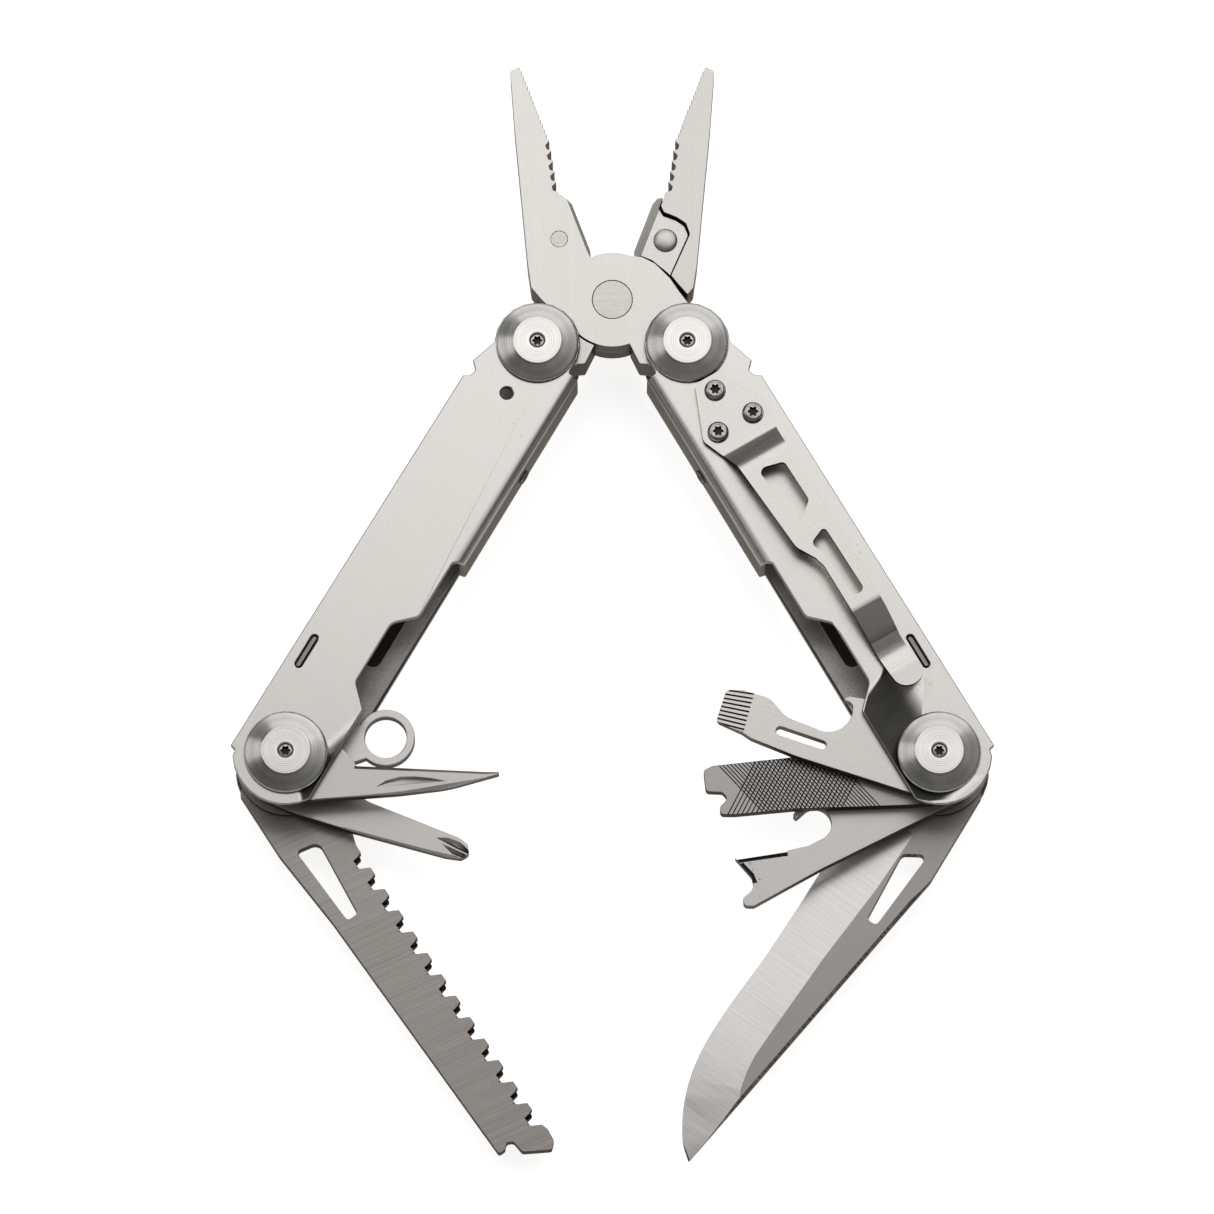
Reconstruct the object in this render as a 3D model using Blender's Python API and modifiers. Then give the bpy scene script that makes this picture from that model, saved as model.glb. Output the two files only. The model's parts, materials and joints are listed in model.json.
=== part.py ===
"""A plier multi-tool, half open: jaws, two folding handles and eight fanned-out tools.

All lengths below are millimetres, except where a value is multiplied by MM. The tool lies flat, rear
side on z = 0, with the pliers towards +Y. Left and right mirror each other in plan.

Frames used by the outlines:
  jaw     x across the closed jaws (0 is the line where they meet), y towards the tip, z from mid plane
  handle  u from the lower pivot towards the upper pivot, v towards the side the tools open from
  tool    x from its pivot along the tool, y towards the side that leads when it folds away
"""

import math

import bmesh
import bpy
from mathutils import Matrix, Vector

MM = 0.001

# Driving dimensions
PIN_Y = 57.28           # plier pin, ahead of the middle of the whole tool
JAW_OPENING = 41.0      # degrees between the jaws
ARM = 16.4              # plier pin to each upper pivot
ARM_ANGLE = -53.3       # direction of the left jaw's arm, with the jaws closed
PIVOTS = 90.0           # upper pivot to lower pivot of a handle
HANDLE_LEAN = 30.35     # degrees between each handle and the middle line

# Layers, from the rear: (low, high)
HEAD_HIGH = 1.9
BACK_PLATE = (2.0, 3.2)
BLADE = (3.4, 6.0)
LINER = (6.2, 7.2)
JAW = (7.6, 15.2)
REAR_TOOL = (7.5, 9.8)
REAR_WASHER = (9.9, 10.2)
MIDDLE_TOOL = (10.3, 12.5)
FRONT_WASHER = (12.6, 12.9)
FRONT_TOOL = (13.0, 15.3)
FRONT_PLATE = (15.5, 16.7)
CAP = (16.8, 18.9)
CLIP_BASE = (16.9, 17.9)

# Pivots
BARREL_R = 3.0
BARREL_HOLE_R = 3.15
CAP_R = 7.6
TANG_R = 8.2
HUB_R = 9.1
HUB_CLEAR_R = 9.4
JAW_TANG_R = 7.3
PIN_R = 3.6
PIN_HOLE_R = 3.75
ROUND_STEPS = 28

# Folded handle plate
WALL_V = 9.9            # outer face of the folded wall
WALL_T = 1.2
BEND_R = 2.0
WALL_END = 46.0         # where the wall stops above the lower pivot
WALL_TOP = 88.0
PLATE_EDGE_V = 7.9

# Between the plates of a handle
SPACER_U = (13.5, 23.0)
SPACER_V = (-8.2, -6.2)
SPACER_LAYER = (7.5, 15.3)
TAB_SLOT = ((15.4, -6.55), (21.1, -6.55))
TAB_SLOT_WIDTH = 1.3
TAB_WIDTH = 0.7
TAB_LAYER = (14.0, 16.6)
SPRING_U = (-1.0, 23.0)
SPRING_V = (-8.95, -8.45)
SPRING_LAYER = (7.6, 15.2)
WALL_PIN_U = 68.0
WALL_PIN_Z = 11.2
WALL_PIN_HOLE_R = 1.1
PLATE_HOLE = (78.9, 0.0, 1.2)   # u, v, radius, in the left front plate

# Jaws
HEEL_CORNER = (-12.1, 4.2, 0.5)
SHOULDER = [(7.9, 5.9), (9.8, 3.8), (11.4, 0.2), (12.1, -2.8), (12.8, -5.4)]   # edge of a jaw's arm
SPARE = 5.0             # degrees that the jaws can open further before they would touch

# Screws
CUTTER_SCREW = (-5.1, 14.4)
CUTTER_SCREW_HOLE_R = 1.6
CLIP_SCREWS = ((79.3, 0.4), (72.1, -3.4), (72.1, 4.0))
CLIP_SCREW_HOLE_R = 1.1

# Pocket clip
CLIP_RISE = 2.7

REACH = 12.0            # half the length of a blank that is cut to an outline afterwards
BLOCK = 200.0           # side of a block that slopes are cut with
CREASE = 35.0           # degrees between two faces that still shade as one round surface

STEEL = (0.60, 0.59, 0.57)
DARK_STEEL = (0.30, 0.29, 0.28)
TOOL_STEEL = (0.48, 0.47, 0.46)


# ---------------------------------------------------------------- helpers

def collection(name):
    made = bpy.data.collections.new(name)
    bpy.context.scene.collection.children.link(made)
    return made


def arc(x, y, radius, start, end, steps):
    """Points on a circle from the start to the end angle, in degrees."""
    angles = [math.radians(start + (end - start) * i / steps) for i in range(steps + 1)]
    return [(x + radius * math.cos(a), y + radius * math.sin(a)) for a in angles]


def circle(x, y, radius, steps=20):
    return arc(x, y, radius, 0, 360, steps)[:-1]


def slot(start, end, width, steps=5):
    """An obround between two centres."""
    lean = math.degrees(math.atan2(end[1] - start[1], end[0] - start[0]))
    return (arc(*end, width / 2, lean - 90, lean + 90, steps)
            + arc(*start, width / 2, lean + 90, lean + 270, steps))


def rounded(corners, steps=3):
    """Turns each (x, y, radius) corner of a closed outline into an arc; (x, y) stays sharp."""
    points = []
    for i, corner in enumerate(corners):
        here = Vector(corner[:2])
        if len(corner) == 2:
            points.append(tuple(here))
            continue
        before = Vector(corners[i - 1][:2]) - here
        after = Vector(corners[(i + 1) % len(corners)][:2]) - here
        half = before.angle(after) / 2
        reach = min(corner[2] / math.tan(half), 0.49 * before.length, 0.49 * after.length)
        middle = here + (before.normalized() + after.normalized()).normalized() * reach / math.cos(half)
        first = here + before.normalized() * reach - middle
        last = here + after.normalized() * reach - middle
        start = math.degrees(math.atan2(first.y, first.x))
        sweep = math.degrees(-first.angle_signed(last))
        points += arc(*middle, first.length, start, start + sweep, steps)
    return points


def material(name, colour, roughness):
    made = bpy.data.materials.new(name)
    made.use_nodes = True
    shader = made.node_tree.nodes["Principled BSDF"]
    shader.inputs["Base Color"].default_value = (*colour, 1)
    shader.inputs["Roughness"].default_value = roughness
    shader.inputs["Metallic"].default_value = 1.0
    return made


def shade_round(mesh):
    """Smooth shading, with an edge wherever two faces meet at more than a slight angle."""
    mesh.shade_smooth()
    mesh.set_sharp_from_angle(angle=math.radians(CREASE))


def evaluated(shape):
    """The mesh of an object with its modifiers; the object itself is removed."""
    bpy.context.scene.collection.objects.link(shape)
    graph = bpy.context.evaluated_depsgraph_get()
    mesh = bpy.data.meshes.new_from_object(shape.evaluated_get(graph))
    bpy.data.objects.remove(shape)
    return mesh


def add(name, mesh, parent, colour, roughness, turn=(0, 0, 0), shift=(0, 0, 0)):
    """Makes a node of the tool under its axis; colour None makes a cutter."""
    made = bpy.data.objects.new(name, mesh)
    made.parent = parent
    made.rotation_euler = [math.radians(a) for a in turn]
    made.location = Vector(shift) * MM
    if colour is None:
        CUTTERS.objects.link(made)
        made.hide_render = True
        made.display_type = "WIRE"
    else:
        PARTS.objects.link(made)
        mesh.materials.append(material(name, colour, roughness))
    return made


def extruded(name, outline, low, high, holes=(), plane="XY", side=1):
    """The mesh of a flat outline, thickened between low and high across its plane.

    side -1 mirrors the outline for the right-hand half of the tool: its second coordinate in the
    XY plane, and its first in the YZ plane.
    """
    flip = {"XY": (1, side), "YZ": (side, 1), "XZ": (1, 1)}[plane]
    curve = bpy.data.curves.new(name, "CURVE")
    curve.dimensions = "2D"
    curve.fill_mode = "BOTH"
    curve.extrude = (high - low) / 2 * MM
    for loop in (outline, *holes):
        spline = curve.splines.new("POLY")
        spline.points.add(len(loop) - 1)
        for point, (x, y) in zip(spline.points, loop):
            point.co = (x * flip[0] * MM, y * flip[1] * MM, 0, 1)
        spline.use_cyclic_u = True
    mesh = evaluated(bpy.data.objects.new(name, curve))
    to_plane = {
        "XY": Matrix.Identity(4),
        "XZ": Matrix.Rotation(math.radians(90), 4, "X"),
        "YZ": Matrix(((0, 0, 1, 0), (1, 0, 0, 0), (0, 1, 0, 0), (0, 0, 0, 1))),
    }[plane]
    body = bmesh.new()
    body.from_mesh(mesh)
    bmesh.ops.remove_doubles(body, verts=body.verts, dist=0.001 * MM)
    middle = (high + low) / 2 * MM * (-1 if plane == "XZ" else 1)
    bmesh.ops.translate(body, verts=body.verts, vec=(0, 0, middle))
    bmesh.ops.transform(body, matrix=to_plane, verts=body.verts)
    bmesh.ops.recalc_face_normals(body, faces=body.faces)
    body.to_mesh(mesh)
    body.free()
    shade_round(mesh)
    mesh.name = name
    return mesh


def turned(name, profile, parent, colour, roughness, closed=False, steps=ROUND_STEPS, **place):
    """A turned piece: (radius, height) points, down its outer side, spun about its axis."""
    outline = bpy.data.meshes.new(name)
    points = [(r * MM, 0, z * MM) for r, z in profile]
    edges = [(i, i + 1) for i in range(len(points) - 1)]
    if closed:
        edges.append((len(points) - 1, 0))
    outline.from_pydata(points, edges, [])
    shape = bpy.data.objects.new(name, outline)
    spin = shape.modifiers.new("Screw", "SCREW")
    spin.steps = spin.render_steps = steps
    spin.use_merge_vertices = True
    spin.merge_threshold = 0.00001
    mesh = evaluated(shape)
    shade_round(mesh)
    return add(name, mesh, parent, colour, roughness, **place)


def combine(target, cutter, operation="DIFFERENCE"):
    """A Boolean between a node and a helper shape."""
    step = target.modifiers.new(cutter.name, "BOOLEAN")
    step.operation = operation
    step.solver = "EXACT"
    step.object = cutter


def half_space(name, parent, points, away_from, **place):
    """A block whose face passes through three points, on the side away from a fourth."""
    a, b, c = (Vector(p) for p in points)
    normal = (b - a).cross(c - a).normalized()
    if normal.dot(Vector(away_from) - a) > 0:
        normal.negate()
    shape = bmesh.new()
    bmesh.ops.create_cube(shape, size=BLOCK * MM)
    turn = Vector((0, 0, 1)).rotation_difference(normal).to_matrix().to_4x4()
    move = Matrix.Translation((a + normal * BLOCK / 2) * MM)
    bmesh.ops.transform(shape, matrix=move @ turn, verts=shape.verts)
    mesh = bpy.data.meshes.new(name)
    shape.to_mesh(mesh)
    shape.free()
    return add(name, mesh, parent, None, 0, **place)


def axis(name, x, y, turn=0.0):
    """An empty on a joint's axis."""
    made = bpy.data.objects.new(name, None)
    made.empty_display_size = 0.01
    made.location = (x * MM, y * MM, 0)
    made.rotation_euler.z = math.radians(turn)
    PARTS.objects.link(made)
    return made


def star(radius, low, high, name, parent, **place):
    """A six-lobed driver socket."""
    points = []
    for i in range(12):
        reach = radius if i % 2 == 0 else radius * 0.68
        points += arc(0, 0, reach, i * 30 - 8, i * 30 + 8, 1)
    return add(name, extruded(name, points, low, high), parent, None, 0, **place)


# ---------------------------------------------------------------- pliers

def jaw_outline():
    """Left jaw, closed: up the gripping edge, down the back, round the hub and out along the arm."""
    gripping = [(-1.05, 10.4, 0.8), (-1.05, 21.2, 0.6), (-1.9, 22.4)]
    for i in range(5):
        base = -2.1 + 0.42 * i
        gripping += [(base, 23.1 + 2 * i), (base - 0.75, 23.6 + 2 * i), (base - 0.7, 24.4 + 2 * i),
                     (base + 0.3, 24.9 + 2 * i)]
    teeth = 15
    for i in range(teeth):
        gripping += [(-0.12, 33.4 + i), (-0.5, 33.7 + i)]
    tip = [(-0.12, 48.5, 0.4), (-2.2, 48.3, 0.6)]
    back = [(-5.3, 37.6, 20), (-9.1, 23.6, 12), (-12.2, 12.0, 6), (-13.2, 7.4, 1.2), HEEL_CORNER]
    ray = math.degrees(math.asin(JAW_TANG_R / ARM))
    arm = math.radians(ARM_ANGLE)
    end = (ARM * math.cos(arm), ARM * math.sin(arm))
    hub_low = arc(0, 0, HUB_R, 196, 270, 10)
    corner = [(0.4, -13.3, 0.4), (1.7, -13.9, 0.4)]
    tang = arc(*end, JAW_TANG_R, ARM_ANGLE - ray - 80, ARM_ANGLE + ray + 90, 14)
    hub_high = arc(0, 0, HUB_R, 48, 96, 6)
    return rounded(gripping + tip + back + hub_low + corner + tang + SHOULDER[::-1] + hub_high), end


def cut_lap(target, name, parent, place):
    """Clears a jaw's rear half for the front half of the other jaw, which may open by SPARE more."""
    half = (JAW[1] - JAW[0]) / 2
    facing = Matrix.Rotation(math.radians(-JAW_OPENING - SPARE), 4, "Z")

    def across(points):
        """Points in the other jaw's frame, as this one sees them when both are fully open."""
        return [tuple((facing @ Vector((-x, y, 0))).xy) for x, y in points]

    shoulder = [(0, 0), (6.3, 7.1)] + [(x + 0.2, y + 0.15) for x, y in SHOULDER]
    shoulder += [(13.45, -6.7), (17.5, -9.0), (17.5, -21.0), (0, -21.0)]
    corner_x, corner_y = HEEL_CORNER[:2]
    heel = [(0, 0), (-9.2, -2.8), (corner_x - 0.3, corner_y - 0.2), (-13.5, 7.2), (-13.5, 9.5), (-9, 20), (0, 20)]
    for number, shape in enumerate((circle(0, 0, HUB_CLEAR_R, 40), across(shoulder), across(heel)), 1):
        lap = add(f"{name}_lap_{number}", extruded("lap", shape, -half - 1, 0.1), parent, None, 0, **place)
        combine(target, lap)


def make_jaw(label, side_parent, turn):
    outline, end = jaw_outline()
    half = (JAW[1] - JAW[0]) / 2
    middle = (JAW[1] + JAW[0]) / 2
    place = {"turn": turn, "shift": (0, 0, middle)}
    screw_hole = circle(*CUTTER_SCREW, CUTTER_SCREW_HOLE_R, 12)
    holes = [circle(0, 0, PIN_HOLE_R, 24), circle(*end, BARREL_HOLE_R), screw_hole]
    jaw = add(f"jaw_{label}", extruded("jaw", outline, -half, half, holes), side_parent,
              STEEL, 0.35, **place)
    cut_lap(jaw, f"jaw_{label}", side_parent, place)
    seat = rounded([(1.5, 22.45), (-2.05, 22.45), (-2.05, 20.2), (-3.0, 19.2, 0.5), (-5.6, 19.1, 1), (-7.6, 18.6, 1),
                    (-9.0, 16.9, 1), (-8.5, 7.6, 0.5)] + arc(0, 0, 8.52, 139, 84, 8) + [(1.5, 9.0)])
    pocket = add(f"jaw_{label}_pocket", extruded("pocket", seat, -half - 1, 1.5), side_parent,
                 None, 0, **place)
    combine(jaw, pocket)

    body = rounded([(-0.12, 11.2), (-0.12, 21.0), (-0.7, 22.1), (-1.72, 22.1), (-1.72, 19.8),
                    (-2.0, 19.5), (-3.1, 18.7, 0.4), (-5.6, 18.7, 1), (-7.4, 18.2, 1),
                    (-8.7, 16.8, 1), (-8.25, 7.9, 0.5)] + arc(0, 0, 8.95, 135, 96, 6))
    insert = add(f"cutter_{label}", extruded("cutter", body, -4, 4, [screw_hole]),
                 side_parent, TOOL_STEEL, 0.35, **place)
    wedge = [(-12, -2.9), (-1.9, -2.9), (-0.05, -0.15), (-0.05, 0.15), (-1.3, 1.3), (-12, 1.3)]
    combine(insert, add(f"cutter_{label}_wedge", extruded("wedge", wedge, 5, 25, plane="XZ"),
                        side_parent, None, 0, **place), "INTERSECT")
    cut_lap(insert, f"cutter_{label}", side_parent, place)

    x, y = CUTTER_SCREW
    spun = Matrix.Rotation(math.radians(turn[2]), 4, "Z") @ Matrix.Rotation(math.radians(turn[1]), 4, "Y")
    spot = spun @ Vector((x, y, 0))
    turned(f"cutter_screw_{label}",
           [(0, 3.78), (1.45, 3.78), (1.45, -3.0), (2.2, -3.0), (2.1, -3.3), (1.5, -3.65), (0, -3.78)],
           side_parent, DARK_STEEL, 0.25, steps=20, turn=turn, shift=(spot.x, spot.y, middle))


def make_pliers():
    half_open = JAW_OPENING / 2
    pin = axis("plier_axis", 0, PIN_Y)
    make_jaw("left", pin, (0, 0, half_open))
    make_jaw("right", pin, (0, 180, -half_open))
    low, high = JAW[0] - 0.1, JAW[1] + 0.1
    turned("plier_pivot_pin", [(0, high), (PIN_R - 0.15, high), (PIN_R, high - 0.15),
                               (PIN_R, low + 0.15), (PIN_R - 0.15, low), (0, low)],
           pin, STEEL, 0.3)


# ---------------------------------------------------------------- handles

def on_handle(points):
    """(u, v) points to distances from the upper pivot, where the handle has its origin."""
    return [(PIVOTS - point[0], *point[1:]) for point in points]


def front_outline():
    return rounded([(-3.9, -9.4, 0.3), (77.9, -8.7, 0.3), (78.5, -7.6, 0.4), (79.8, -7.2, 0.5),
                    (81.2, -8.6, 0.3)]
                   + arc(PIVOTS, 0, 7.9, -118, 98, 12)
                   + [(WALL_TOP, 7.9), (WALL_TOP, 10.6), (47.0, 10.6), (46.6, 8.6), (WALL_END, 7.9),
                      (34.2, 7.9, 1.6), (30.6, 4.1, 2.0), (17.8, 4.1, 1.6), (13.8, 8.1, 1.6)]
                   + arc(0, 0, 9.7, 123, 236, 10)
                   + [(-4.2, -8.3, 0.3)])


def wall_profile():
    """Across the handle: the flat face, the bend and the wall, as (v, z)."""
    low, high = FRONT_PLATE
    bend = high - BEND_R
    outer = arc(PLATE_EDGE_V, bend, BEND_R, 90, 0, 5)
    inner = arc(PLATE_EDGE_V, bend, BEND_R - WALL_T, 0, 90, 4)
    foot = SPACER_LAYER[0]
    return [(-REACH, low), (-REACH, high)] + outer + [(WALL_V, foot), (WALL_V - WALL_T, foot)] + inner


def rectangle(across, along):
    return [(across[0], along[0]), (across[1], along[0]), (across[1], along[1]), (across[0], along[1])]


def make_handle(label, side):
    lean = 270 - side * HANDLE_LEAN
    x, y = upper_pivot(side)
    fold = axis(f"{label}_fold_axis", x, y, lean)

    def flat(name, outline, layer, holes, colour, roughness):
        mesh = extruded(name, on_handle(outline), *layer, [on_handle(h) for h in holes], side=side)
        return add(f"{label}_{name}", mesh, fold, colour, roughness)

    pivot_holes = [circle(0, 0, BARREL_HOLE_R), circle(PIVOTS, 0, BARREL_HOLE_R)]
    extra = [slot(*TAB_SLOT, TAB_SLOT_WIDTH)]
    if label == "left":
        extra.append(circle(*PLATE_HOLE, 14))
    else:
        extra += [circle(*spot, CLIP_SCREW_HOLE_R, 10) for spot in CLIP_SCREWS]
    sheet = extruded("sheet", wall_profile(), -REACH, PIVOTS + REACH, plane="YZ", side=side)
    front = add(f"{label}_front_plate", sheet, fold, STEEL, 0.3)
    blank = flat("front_blank", front_outline(), (0, 25), pivot_holes + extra, None, 0)
    combine(front, blank, "INTERSECT")
    through = sorted((side * 6, side * REACH))
    ring = circle(PIVOTS - WALL_PIN_U, WALL_PIN_Z, WALL_PIN_HOLE_R, 12)
    bore = extruded("bore", ring, *through, plane="XZ")
    combine(front, add(f"{label}_wall_bore", bore, fold, None, 0))

    back = rounded([(-3.9, -9.2, 0.3)] + arc(PIVOTS, 0, 7.9, -92, 92, 12)
                   + [(34.2, 7.9)] + arc(0, 0, 9.7, 123, 236, 10) + [(-4.2, -8.3, 0.3)])
    flat("back_plate", back, BACK_PLATE, pivot_holes, STEEL, 0.3)
    liner = arc(PIVOTS, 0, 7.5, -92, 84, 10) + [(WALL_TOP, 8.2)] + arc(0, 0, 9.3, 118, 240, 10)
    flat("liner", liner, LINER, pivot_holes, TOOL_STEEL, 0.35)

    spacer = rounded([(*corner, 0.4) for corner in rectangle(SPACER_U, SPACER_V)])
    block = flat("spacer", spacer, SPACER_LAYER, [], DARK_STEEL, 0.5)
    tab = flat("spacer_tab", slot(*TAB_SLOT, TAB_WIDTH, 3), TAB_LAYER, [], None, 0)
    combine(block, tab, "UNION")
    flat("tool_spring", rectangle(SPRING_U, SPRING_V), SPRING_LAYER, [], DARK_STEEL, 0.35)

    lean_across = (-90 if side > 0 else 90, 0, 0)
    turned(f"{label}_wall_pin", [(0, 10.6), (1.3, 10.4), (1.5, 10.05), (0.9, 10.05), (0.9, 7.9), (0, 7.9)],
           fold, DARK_STEEL, 0.3, steps=12, turn=lean_across, shift=(PIVOTS - WALL_PIN_U, 0, WALL_PIN_Z))

    for spot, place in (("upper", (0, 0, 0)), ("lower", (PIVOTS, 0, 0))):
        make_pivot(f"{label}_{spot}", fold, place)
    for layer, name in ((REAR_WASHER, "rear"), (FRONT_WASHER, "middle")):
        low, high = layer
        turned(f"{label}_{name}_washer", [(6.2, high), (6.2, low), (BARREL_HOLE_R, low),
                                          (BARREL_HOLE_R, high)],
               fold, STEEL, 0.4, closed=True, steps=20, shift=(PIVOTS, 0, 0))
    return fold


def make_pivot(label, parent, place):
    """A barrel with a broad turned head at the rear, a turned cap at the front, and its screw."""
    top = FRONT_PLATE[1]
    low, high = CAP
    turned(f"{label}_barrel", [(0, 9.5), (1.15, 9.5), (1.15, top), (BARREL_R, top), (BARREL_R, HEAD_HIGH),
                               (CAP_R, HEAD_HIGH), (CAP_R, 1.3), (CAP_R - 0.3, 1.15), (4.7, 0.5),
                               (4.4, 0.0), (0, 0)], parent, STEEL, 0.25, shift=place)
    turned(f"{label}_cap", [(1.5, high), (4.3, high), (4.55, high - 0.25), (4.7, high - 0.55),
                            (CAP_R - 0.3, low + 0.75), (CAP_R, low + 0.6), (CAP_R, low), (1.3, low),
                            (1.3, low + 0.7), (1.5, low + 0.7)],
           parent, STEEL, 0.25, closed=True, shift=place)
    head = high - 0.5
    screw = turned(f"{label}_screw", [(0, head), (1.2, head), (1.3, head - 0.15), (1.3, low + 0.8),
                                      (1.0, low + 0.8), (1.0, 10.0), (0, 10.0)],
                   parent, DARK_STEEL, 0.25, steps=16, shift=place)
    combine(screw, star(0.85, head - 0.6, head + 1, f"{label}_socket", parent, shift=place))


def upper_pivot(side):
    """Plan place of the upper pivot; side 1 is the left handle, which hangs on the right jaw."""
    angle = math.radians(ARM_ANGLE + JAW_OPENING / 2)
    return -side * ARM * math.cos(angle), PIN_Y + ARM * math.sin(angle)


def lower_pivot(side):
    x, y = upper_pivot(side)
    lean = math.radians(HANDLE_LEAN)
    return x - side * PIVOTS * math.sin(lean), y - PIVOTS * math.cos(lean)


# ---------------------------------------------------------------- pocket clip

def make_clip(fold):
    """A bent spring clip on the right handle's front, and its three button-head screws."""
    base_low, base_high = CLIP_BASE
    top = base_high + CLIP_RISE
    thick = base_high - base_low
    path = [(84, base_high), (67.5, base_high), (63.5, top), (30, top),
            (24.5, top - 0.5), (20.5, base_high + 0.6), (19.0, base_high + 0.15),
            (17.6, base_high + 0.4), (15.0, base_high + 1.9), (11, base_high + 2.6)]
    strip = path + [(u, z - thick) for u, z in reversed(path)]
    plan = rounded([(82.2, -2.2, 1), (73.2, -6.8, 1.5), (66.8, -5.6, 1), (63.6, -5.3, 1), (28, -5.3, 2),
                    (22.0, -4.9, 2), (13.0, -5.6, 2.4), (12.6, 0.2, 2.4), (21.5, 0.6, 2),
                    (39.8, 0.6, 1), (42.0, 1.2, 1), (45.5, 3.2, 2), (64.5, 4.6, 1),
                    (67.6, 5.4, 0.5), (72.0, 7.2, 1.5), (82.2, 3.0, 1)])
    front_window = rounded([(61.6, 0.8, 1), (60.6, -3.2, 1), (52.0, -3.4, 1), (49.5, -0.2, 1),
                            (49.5, 0.9, 0.8), (60.8, 1.7, 0.6)])
    rear_window = rounded([(46.4, -3.2, 0.6), (32.3, -3.5, 1), (32.3, -1.1, 1), (40.8, -0.7, 2),
                           (44.8, 0.5, 1)])
    screw_holes = [circle(*spot, CLIP_SCREW_HOLE_R, 10) for spot in CLIP_SCREWS]
    mesh = extruded("clip", on_handle(strip), -REACH, REACH, plane="XZ")
    clip = add("pocket_clip", mesh, fold, STEEL, 0.3)
    outline = extruded("clip_blank", on_handle(plan), 10, 30,
                       [on_handle(hole) for hole in (front_window, rear_window, *screw_holes)], side=-1)
    combine(clip, add("clip_blank", outline, fold, None, 0), "INTERSECT")
    for number, (u, v) in enumerate(CLIP_SCREWS, 1):
        seat = base_high + 0.1
        place = (PIVOTS - u, -v, 0)
        screw = turned(f"clip_screw_{number}", [(0, seat + 1.0), (0.9, seat + 0.95), (1.6, seat + 0.6),
                                                (1.95, seat), (0.95, seat), (0.95, 15.6), (0, 15.6)],
                       fold, DARK_STEEL, 0.2, steps=16, shift=place)
        combine(screw, star(1.05, seat + 0.35, seat + 2, f"clip_socket_{number}", fold, shift=place))


# ---------------------------------------------------------------- tools

def make_tool(name, parent, side, angle, layer, outline, holes=(), colour=TOOL_STEEL):
    """A tool on its lower pivot; angle is its left-handed direction from +X in degrees."""
    turn = angle if side > 0 else 180 - angle
    mesh = extruded(name, outline, *layer, [circle(0, 0, BARREL_HOLE_R), *holes], side=side)
    return add(name, mesh, parent, colour, 0.35, turn=(0, 0, turn)), (0, 0, turn)


def tang(start, end, steps=10):
    """The round end of a tool, from one angle to the other."""
    return arc(0, 0, TANG_R, start, end, steps)


def awl():
    return [(6.1, -7.9), (21.4, -5.1), (30.0, -3.1), (38.9, 0.5), (38.7, 1.0), (12.8, -0.5),
            (10.2, 2.0)] + tang(35, 272)


def lanyard_ring():
    return [(12.2, -2.9)] + arc(18.4, 0.7, 5.3, -142, 142, 16) + [(12.2, 4.1)] + tang(35, 325)


def phillips_driver():
    return rounded([(5.4, -8.2), (16.2, -7.0, 3), (33.6, -4.4), (36.4, -3.6, 0.6), (37.4, -2.2, 0.8),
                    (36.4, -0.7, 0.6), (34.6, -0.2, 0.5), (15.4, -0.8, 6)] + tang(40, 272))


def saw():
    """The back, the notched end, and the toothed edge back to the tang."""
    back = [(0.2, -10.2, 0.3), (13.6, -9.8, 4), (29.5, -7.8, 8), (81.7, -3.8, 0.5), (81.5, -2.4),
            (80.5, -1.6, 0.7), (81.0, -0.4, 0.7), (83.5, 0.0, 0.8), (85.9, 4.8, 0.5),
            (84.6, 6.0, 0.8), (82.2, 6.1)]
    edge = []
    for i in range(13):
        x = 81.0 - 4.75 * i
        y = 5.6 - 0.19 * i
        edge += [(x, y), (x - 0.9, y - 1.9), (x - 2.0, y - 2.0), (x - 2.4, y - 0.6), (x - 3.1, y - 0.7),
                 (x - 3.3, y - 0.1)]
    return rounded(back + edge + [(19.0, 3.2), (14.0, 4.6)] + tang(45, 250))


def bottle_opener():
    foot = [(4.7, -8.2), (25.2, -7.0, 8), (33.7, -5.9, 1), (35.6, -5.2), (40.7, -4.3, 0.6)]
    top = [(40.4, 1.9, 0.8), (37.6, 2.6, 1), (32.3, 2.3, 2), (28.6, -0.3, 4)]
    bite = arc(21.6, 3.3, 4.5, 285, 160, 7)
    hook = [(17.9, 5.3), (19.4, 5.5, 0.2), (18.5, 6.4, 0.6), (15.0, 6.7, 4)]
    return rounded(foot + top + bite + hook + tang(60, 272))


def metal_file():
    notch = [(38.1, -6.6, 1), (40.6, -6.3, 1), (40.4, -4.8, 0.6), (38.8, -3.5, 0.8), (39.8, -2.2, 0.6),
             (42.7, -1.8, 0.8), (42.7, 2.2, 0.7), (41.0, 2.9, 0.8)]
    return rounded([(5.1, -8.2), (27.0, -6.7, 8)] + notch + [(26.5, 3.0), (12, 4.2)] + tang(40, 272))


def can_opener():
    end = [(42.2, -8.8, 0.5), (43.8, -7.9, 0.6), (43.2, -6.5, 0.5), (40.6, -5.9, 1.5), (40.0, -3.7, 1),
           (41.1, 0.7)]
    gullet = arc(25.3, -0.2, 3.05, 278, 88, 8)
    hook = [(27.9, 2.2), (28.1, 3.0, 0.3), (27.2, 3.8, 0.5)]
    return rounded([(4.8, -8.2), (28.0, -8.2)] + end + [(31.6, -2.4, 2), (28.0, -3.3)] + gullet + hook
                   + [(14, 4.6)] + tang(42, 272))


def knife():
    """The spine to the tip, the belly, the edge and the notch before the tang."""
    return [(0.8, -9.9), (19.1, -9.9), (86.2, 1.3), (83.8, 4.1), (78.6, 7.2), (72.0, 9.4), (65.0, 10.1),
            (57.2, 9.8), (47.1, 8.9), (35.1, 8.4), (14.5, 8.2), (13.2, 6.6), (11.6, 6.9)] + tang(50, 245)


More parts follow.
